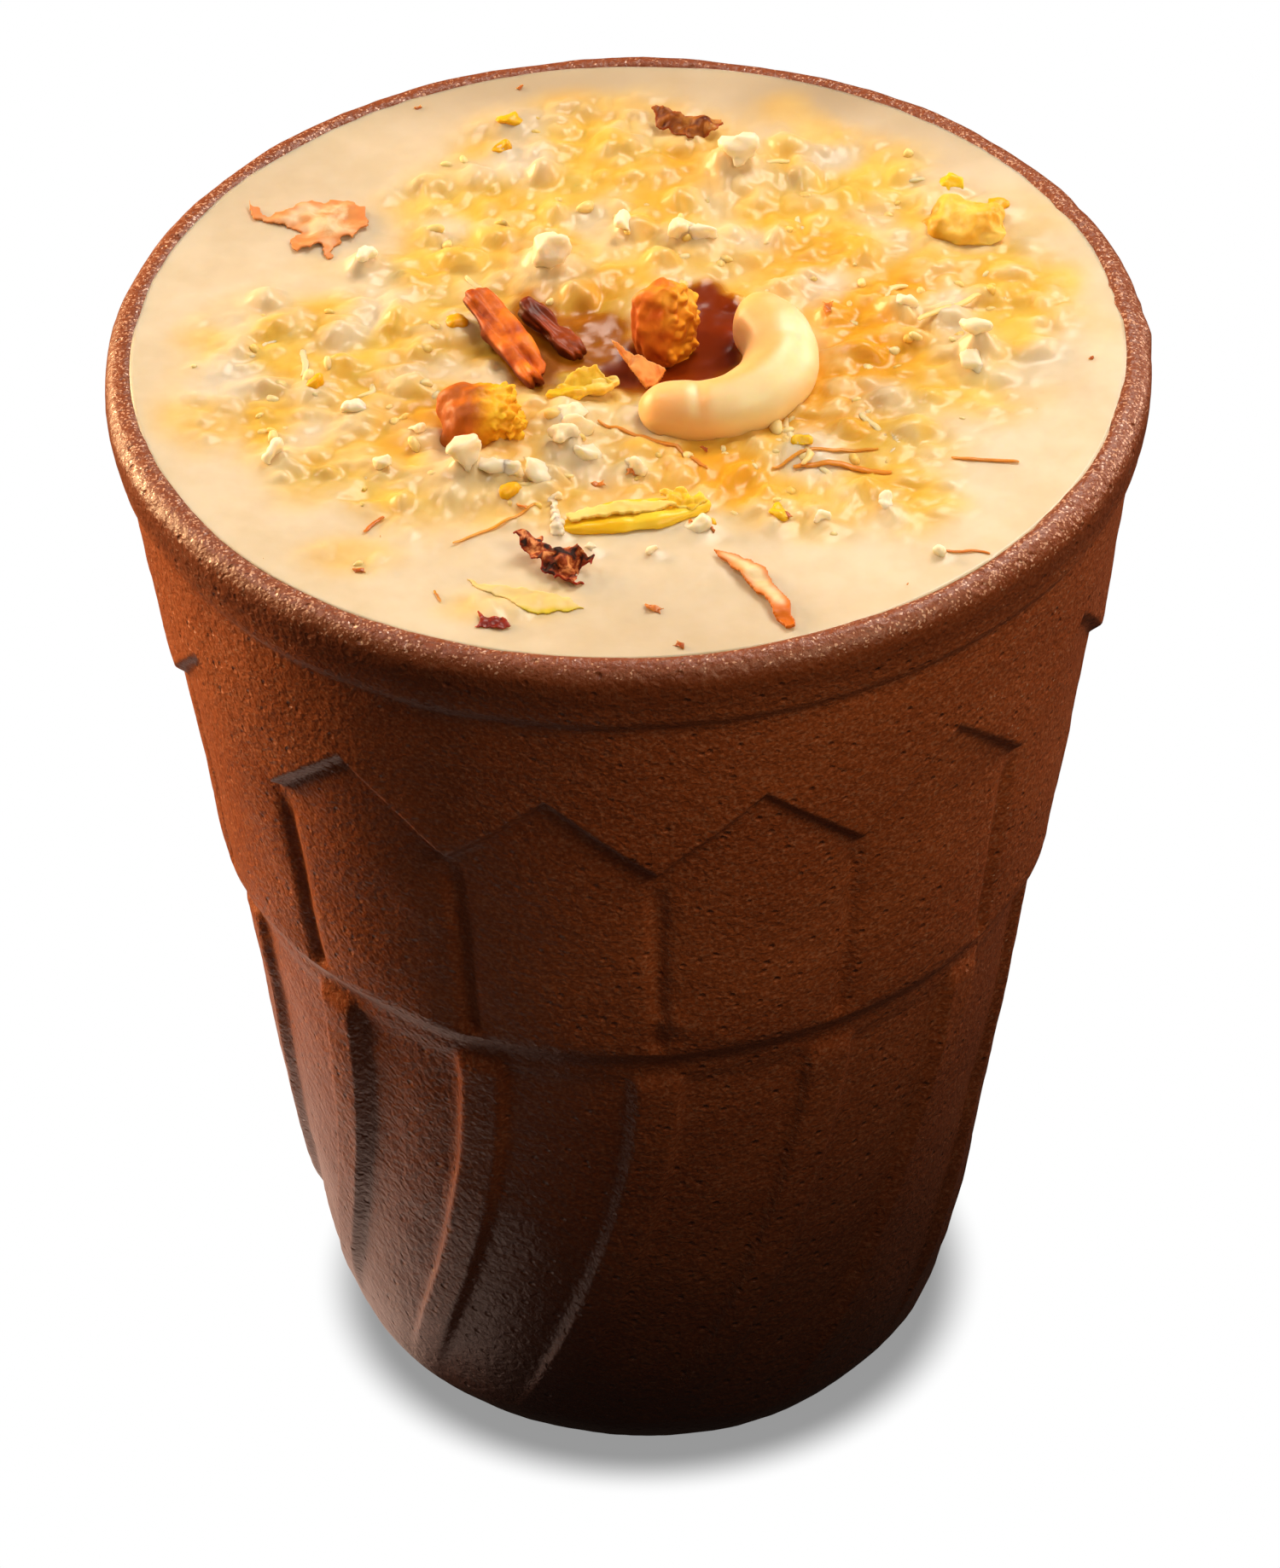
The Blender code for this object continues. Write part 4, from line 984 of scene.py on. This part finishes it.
# Thick garnish: copies of the solids, rounded and roughened as each real piece is.
# "layers": width and height of the skin's waves; "in": how far it is drawn in; "near" and "far": a darker
# and a paler colour each, changing over "from" along x; where "lit" is given, they change with how far
# each face turns to that direction, as painted light and shade; "sides": how much of the colour "deep"
# the sides take, painted shade on the fruit and sticks, painted light on the cashew.
garnish = {
    "cashew": {
        "slot": "cashew", "layers": ((5.0, 0.25), (1.8, 0.07)), "in": 0.0,
        # painted light and shade: the cashew's tones follow how far each face turns to "lit", and its
        # sides are painted paler
        "near": ("#f6bc76", "#fac888"), "far": ("#fce8b4", "#fff4cc"), "from": (0.3, 0.9),
        "scale": 200.0, "lit": (0.75, -0.45, 0.48), "pull": 0.8, "sides": 0.6, "deep": "#ffd898",
        "dents": (
            (5.2, -9.6, 0.55, 2.2, 0.28), (6.4, -6.6, 1.2, 1.0, 0.2), (11.4, 2.4, 1.4, 0.5, 0.16),
            (13.2, -3.0, 1.6, 0.6, 0.14)),
        "roughness": 0.36, "bump": 0.12, "soft": 0.6},
    "fruit_piece_back": {
        "slot": "dried_fruit", "layers": ((2.4, 0.55), (0.9, 0.2)), "in": 0.15,
        "grains": (1.0, 0.42, 2.0, 4.6), "near": ("#d0600e", "#f08c24"), "far": ("#f09e10", "#fdc034"),
        "from": (2.0, 4.2), "scale": 520.0, "sides": 0.75, "deep": "#98400c", "roughness": 0.5,
        "bump": 0.5, "soft": 0.25},
    "fruit_piece_front": {
        "slot": "dried_fruit", "layers": ((2.4, 0.5), (0.9, 0.2)), "in": 0.1,
        "grains": (0.7, 0.5, -11.6, -9.0), "near": ("#a8520a", "#c66a12"),
        "far": ("#f6aa0c", "#ffca2c"), "from": (-12.0, -10.4), "scale": 520.0, "sides": 0.4,
        "deep": "#a04c0c", "roughness": 0.5, "bump": 0.5, "soft": 0.25},
    "fruit_lump_right": {
        "slot": "yellow_fruit", "layers": ((2.4, 0.7), (0.9, 0.16)), "in": 0.2,
        "grains": (1.1, 0.16, 20.0, 30.0), "near": ("#c8921a", "#e8b43a"),
        "far": ("#eeb83c", "#fbd468"), "from": (23.4, 26.0), "scale": 400.0, "roughness": 0.4,
        "bump": 0.3, "soft": 0.3},
    "nut_stick_long": {
        "slot": "nut_skin", "layers": ((2.5, 0.4), (0.9, 0.12)), "in": 0.0,
        "furrows": ((-11.5, 5.4), (-6.6, -4.4), 0.62, 0.34), "near": ("#9c3a04", "#f07c14"),
        "far": ("#bc4c06", "#fa8c1c"), "from": (-11.0, -7.0), "scale": 380.0, "sides": 0.95,
        "deep": "#5c1c06", "roughness": 0.5, "bump": 0.6, "soft": 0.15},
    "nut_stick_short": {
        "slot": "nut_skin", "layers": ((2.2, 0.4), (0.8, 0.12)), "in": 0.05,
        "furrows": ((-7.7, 4.9), (-3.6, -0.6), 0.5, 0.25), "near": ("#541a04", "#9c3c0e"),
        "far": ("#5e2006", "#9c4412"), "from": (-7.0, -4.0), "scale": 380.0, "sides": 0.8,
        "deep": "#4a1604", "roughness": 0.4, "bump": 0.6, "soft": 0.15},
    "pistachio_sliver_middle": {
        "slot": "pistachio", "layers": ((1.4, 0.35), (0.5, 0.1)), "in": 0.0,
        "furrows": ((-6.2, -5.9), (-0.6, -4.9), 0.6, 0.2), "near": ("#e8b41c", "#f6cc38"),
        "far": ("#f0bc24", "#fce48c"), "from": (-5.0, -1.6), "scale": 500.0, "roughness": 0.3,
        "bump": 0.25, "soft": 0.3},
    "pistachio_sliver_long": {
        "slot": "pistachio", "layers": ((2.6, 0.3), (0.7, 0.06)), "in": 0.0,
        "furrows": ((-5.7, -22.0), (6.0, -19.6), 0.9, 0.12), "near": ("#f4c01a", "#ffd034"),
        "far": ("#f6c61e", "#ffdc44"), "from": (-4.0, 4.0), "scale": 260.0, "roughness": 0.3,
        "bump": 0.2, "soft": 0.3},
}
layers = {  # thin tops on the pistachio slivers
    "sliverTop": {
        "level": 92.75, "slope": (0.0, 0.05), "crumple": ((2.4, 0.3), (0.7, 0.1)), "seed": 21.0,
        "outline": (
            (-5.0, -21.2), (-3.2, -20.2), (-0.6, -19.9), (2.6, -19.9), (3.8, -20.6), (1.3, -21.1),
            (-2.6, -21.6), (-4.6, -22.1)),
        "fray": 0.25, "rim": 0.3, "thick": 0.3, "scale": 300.0, "bump": 0.2, "soft": 0.35,
        "body": ((0.35, "#f0c860"), (0.65, "#fbe08c")), "edge": "#f6d87c"},
    "sliverFrill": {
        "level": 92.8, "slope": (0.0, 0.15), "crumple": ((1.0, 0.5), (0.4, 0.15)), "seed": 23.0,
        "outline": (
            (1.9, -18.8), (3.5, -18.5), (5.1, -19.2), (5.9, -20.2), (4.8, -21.0), (3.2, -20.6)),
        "fray": 0.4, "rim": 0.3, "thick": 0.35, "scale": 500.0, "bump": 0.4, "soft": 0.3,
        "body": ((0.35, "#e8ac10"), (0.65, "#fbd23c")), "edge": "#fbe07c"},
    "middleTop": {
        "level": 93.0, "slope": (0.02, 0.47), "crumple": ((1.2, 0.4), (0.5, 0.12)), "seed": 25.0,
        "outline": (
            (-5.4, -5.4), (-4.8, -4.4), (-3.3, -3.5), (-2.3, -3.6), (-1.4, -4.5), (-0.6, -5.2),
            (-2.4, -5.5), (-4.0, -5.5)),
        "fray": 0.25, "rim": 0.25, "thick": 0.3, "scale": 500.0, "bump": 0.3, "soft": 0.3,
        "body": ((0.38, "#dca818"), (0.6, "#f4cc44")), "edge": "#f8dc70"},
}


def grain(piece, size, height, left, right):  # crusty grains, stronger towards the right
    def rise(place, normal):
        point = place / (size * mm)
        point += noise.noise_vector(point * 1.5) * 0.3
        dome = smooth(1.1 - noise.voronoi(point)[0][0] * 1.6)
        return (dome - 0.4) * height * smooth((place.x / mm - left) / (right - left))
    pushPoints(piece, rise)


def furrow(piece, start, end, gap, depth):  # grooves along a piece lying from start to end
    ahead = (Vector(end) - Vector(start)).normalized()

    def rise(place, normal):
        x, y, z = place / mm
        along = (x - start[0]) * ahead.x + (y - start[1]) * ahead.y
        side = -(x - start[0]) * ahead.y + (y - start[1]) * ahead.x + 0.5 * z
        wave = noise.noise(Vector((side / gap, along / (gap * 7), start[0])))
        return min(wave, 0.15) * 2 * depth
    pushPoints(piece, rise)


def dent(piece, hollows):  # soft hollows in the upper side: x, y, half widths, depth
    def rise(place, normal):
        x, y, z = place / mm
        return -max(normal.z, 0.0) * sum(
            depth * math.exp(-((x - hx) / rx) ** 2 - ((y - hy) / ry) ** 2)
            for hx, hy, rx, ry, depth in hollows)
    pushPoints(piece, rise)


def pullTip(piece, reach):  # draws the cashew's left tip out to its full length
    for vertex in piece.data.vertices:
        x, y, z = vertex.co / mm
        vertex.co.x -= reach * smooth((6.5 - x) / 4) * smooth((-y - 2.5) / 3) * mm


def garnishMaterial(name, look):
    # Fruit and nut flesh: two tones with fine grain, a little light passes through, and where the look
    # asks, painted light and shade by which way each face turns.
    material, tree, shader, place = startMaterial(name, {
        "Roughness": look["roughness"], "IOR": 1.34, "Subsurface Weight": look["soft"],
        "Subsurface Scale": 0.001, "Subsurface Radius": (1.0, 0.5, 0.25)})
    cloud = addNode(tree, "TexNoise", {"Scale": look["scale"], "Detail": 5.0}, {"Vector": place})
    tones = []
    for dark, pale in (look["near"], look["far"]):
        ramp = addNode(tree, "ValToRGB", {"stops": ((0.36, dark), (0.62, pale))},
                       {"Fac": cloud.outputs["Fac"]})
        tones.append(ramp.outputs["Color"])
    # painted light and shade: with "lit" the paler tone goes on faces turned to that direction
    facing = addNode(tree, "TexCoord")
    ways, unit = (facing.outputs["Normal"], 1.0) if "lit" in look else (place, mm)
    side = addNode(tree, "VectorMath", {"operation": "DOT_PRODUCT", 1: look.get("lit", (1, 0, 0))},
                   {0: ways})
    spread = 1.6 * mm  # the border between near and far wanders by this much
    wander = addNode(tree, "Math", {"operation": "MULTIPLY_ADD", 1: spread},
                     {0: cloud.outputs["Fac"], 2: side.outputs["Value"]})
    left, right = (edge * unit + spread / 2 for edge in look["from"])
    across = addNode(tree, "MapRange", {"From Min": left, "From Max": right,
                                        "interpolation_type": "SMOOTHSTEP"},
                     {"Value": wander.outputs["Value"]})
    colour = addNode(tree, "Mix", {"data_type": "RGBA"}, {"Factor": across.outputs["Result"],
                                                          6: tones[0], 7: tones[1]}).outputs[2]
    # painted shade on the sides and undersides of the fruit and sticks, painted light on those of the
    # cashew
    if "sides" in look:
        upward = addNode(tree, "SeparateXYZ", links={"Vector": facing.outputs["Normal"]})
        lower = addNode(tree, "MapRange", {"From Min": 0.75, "From Max": -0.1, "To Max": look["sides"],
                                           "interpolation_type": "SMOOTHSTEP"},
                        {"Value": upward.outputs["Z"]})
        colour = addNode(tree, "Mix", {"data_type": "RGBA", 7: look["deep"]},
                         {"Factor": lower.outputs["Result"], 6: colour}).outputs[2]
    fine = addNode(tree, "TexNoise", {"Scale": look["scale"] * 3.5, "Detail": 3.0}, {"Vector": place})
    bump = addNode(tree, "Bump", {"Strength": look["bump"], "Distance": 0.0001},
                   {"Height": fine.outputs["Fac"]})
    tree.links.new(colour, shader.inputs["Base Color"])
    tree.links.new(bump.outputs["Normal"], shader.inputs["Normal"])
    return material


def modelGarnish():
    print("cashew, fruit and nut sticks")
    for number, (node, look) in enumerate(garnish.items()):
        piece = copyOfNode(node, node + "_look")
        subdivision = piece.modifiers.new("rounding", "SUBSURF")
        subdivision.levels = subdivision.render_levels = 3
        bpy.ops.object.modifier_apply(modifier=subdivision.name)
        ruffle(piece, look["layers"], 1.7 * number + 0.5, look["in"])
        if "grains" in look:
            grain(piece, *look["grains"])
        if "furrows" in look:
            furrow(piece, *look["furrows"])
        if "pull" in look:
            pullTip(piece, look["pull"])
            dent(piece, look["dents"])
        bpy.ops.object.shade_smooth()
        finishPiece(piece, garnishMaterial(node + "_flesh", look), look["slot"], node)
    for name, look in layers.items():
        finishPiece(cutSheet(name, look), sheetMaterial(name + "Skin", look), "pistachio")


modelGarnish()

# Studio: pale floor, soft lights, and a long lens looking down at the front.
studio = {
    "camera": (0, -773.26, 662.24),  # mm, then lens in mm and turns in degrees
    "lens": 289.9,
    "yaw": 0.0103,
    "pitch": 38.365,
    "roll": -1.388,
    "skyLight": 0.05,
    "lights": {  # azimuth from the front towards +X, elevation, distance mm, size mm, watts, colour
        "backLeft": (-120, 10, 600, 340, 7.4, "#ffd29c"),
        "topBack": (150, 52, 620, 300, 2.9, "#fff0e2"),
        "topLeft": (-110, 55, 620, 120, 0.9, "#fff4ee"),
        "rightWarm": (47, 42, 230, 120, 0.2, "#ffe4c0"),
        "backRight": (120, 14, 260, 120, 0.3, "#ffd8c0"),
        "front": (5, 48, 260, 140, 0.045, "#ffe2c4"),
    },
    "lightsAim": (0, 0, 75),
    # Patches of floor that glow and light the cup, though they are no lamps: centre, half widths,
    # strength.
    "floorPools": (((-32, 5), (15, 23), 1.5), ((-50, 20), (12, 13), 1.15), ((-26, -24), (7, 7), 1.0)),
    "floorRest": 0.03,  # what the rest of the floor gives
    "floorGlowColour": "#ffd8c4",
    "footShade": (22.2, 27.2, "#989898"),
    "skyColour": "#fff0e0",
}


def makeCamera():
    data = bpy.data.cameras.new("camera")
    data.lens = studio["lens"]
    data.clip_start, data.clip_end = 0.01, 10
    camera = bpy.data.objects.new("camera", data)
    bpy.context.scene.collection.objects.link(camera)
    bpy.context.scene.camera = camera
    yaw, pitch, roll = (math.radians(studio[key]) for key in ("yaw", "pitch", "roll"))
    ahead = Vector((math.sin(yaw) * math.cos(pitch), math.cos(yaw) * math.cos(pitch), -math.sin(pitch)))
    right = ahead.cross(Vector((0, 0, 1))).normalized()
    above = right.cross(ahead)
    rolledRight = right * math.cos(roll) + above * math.sin(roll)
    rolledUp = above * math.cos(roll) - right * math.sin(roll)
    turn = Matrix((rolledRight, rolledUp, -ahead)).transposed()
    camera.matrix_world = Matrix.Translation(Vector(studio["camera"]) * mm) @ turn.to_4x4()


def makeLights():
    centre = Vector(studio["lightsAim"]) * mm
    for name, (azimuth, elevation, distance, size, watts, colour) in studio["lights"].items():
        data = bpy.data.lights.new(name, "AREA")
        data.shape = "DISK"
        data.size = size * mm
        data.energy = watts
        data.color = hexColour(colour)[:3]
        lamp = bpy.data.objects.new(name, data)
        bpy.context.scene.collection.objects.link(lamp)
        a, e = math.radians(azimuth), math.radians(elevation)
        away = Vector((math.sin(a) * math.cos(e), -math.cos(a) * math.cos(e), math.sin(e)))
        lamp.location = centre + away * distance * mm
        lamp.rotation_euler = away.to_track_quat("Z", "Y").to_euler()
        lamp.visible_camera = False


def showToCamera(tree, lighting, seen, output):  # one shader lights the object, the other is looked at
    path = addNode(tree, "LightPath")
    both = addNode(tree, "MixShader", links={0: path.outputs["Is Camera Ray"], 1: lighting.outputs[0],
                                             2: seen.outputs[0]})
    tree.links.new(both.outputs[0], output.inputs["Surface"])


def makeFloor():  # pale with a soft shade round the foot; its left part lights the cup from below
    bpy.ops.mesh.primitive_plane_add(size=6, location=(0, 0, 0))
    floor = bpy.context.object
    floor.name = "floor"
    material = bpy.data.materials.new("paleFloor")
    material.use_nodes = True
    tree = material.node_tree
    tree.nodes.remove(tree.nodes["Principled BSDF"])
    place = addNode(tree, "TexCoord").outputs["Object"]
    flat = addNode(tree, "VectorMath", {"operation": "LENGTH"}, {0: place})
    near, far, shadeColour = studio["footShade"]
    shade = addNode(tree, "MapRange", {"From Min": near * mm, "From Max": far * mm,
                                       "interpolation_type": "SMOOTHSTEP"},
                    {"Value": flat.outputs["Value"]})
    tone = addNode(tree, "Mix", {"data_type": "RGBA", 6: shadeColour, 7: "#ffffff"},
                   {"Factor": shade.outputs["Result"]})
    seen = addNode(tree, "Emission", {"Strength": 1.0}, {"Color": tone.outputs[2]})
    pools = []
    for (x, y), (wide, deep), strength in studio["floorPools"]:
        shifted = addNode(tree, "VectorMath", {"operation": "SUBTRACT", 1: (x * mm, y * mm, 0)},
                          {0: place})
        scaled = addNode(tree, "VectorMath", {"operation": "DIVIDE", 1: (wide * mm, deep * mm, 1)},
                         {0: shifted.outputs["Vector"]})
        away = addNode(tree, "VectorMath", {"operation": "LENGTH"}, {0: scaled.outputs["Vector"]})
        pool = addNode(tree, "MapRange", {"From Min": 1.3, "From Max": 0.8, "To Max": strength,
                                          "interpolation_type": "SMOOTHSTEP"},
                       {"Value": away.outputs["Value"]})
        pools.append(pool.outputs["Result"])
    glow = pools[0]
    for pool in pools[1:]:
        glow = addNode(tree, "Math", {"operation": "MAXIMUM"}, {0: glow, 1: pool}).outputs["Value"]
    glow = addNode(tree, "Math", {"operation": "ADD", 1: studio["floorRest"]}, {0: glow})
    # painted light: the floor glows only for the cup's light rays, never seen by the camera
    glowingPatches = addNode(tree, "Emission", {"Color": studio["floorGlowColour"]},
                     {"Strength": glow.outputs["Value"]})
    showToCamera(tree, glowingPatches, seen, tree.nodes["Material Output"])
    floor.data.materials.append(material)


def makeWorld():
    world = bpy.data.worlds.new("studioAir")
    world.use_nodes = True
    bpy.context.scene.world = world
    tree = world.node_tree
    background = tree.nodes["Background"]
    background.inputs["Color"].default_value = hexColour(studio["skyColour"])
    background.inputs["Strength"].default_value = studio["skyLight"]
    white = addNode(tree, "Background", {"Color": "#ffffff", "Strength": 1.0})
    showToCamera(tree, background, white, tree.nodes["World Output"])
    bpy.context.scene.view_settings.view_transform = "Standard"


print("studio")
makeCamera()
makeLights()
makeFloor()
makeWorld()
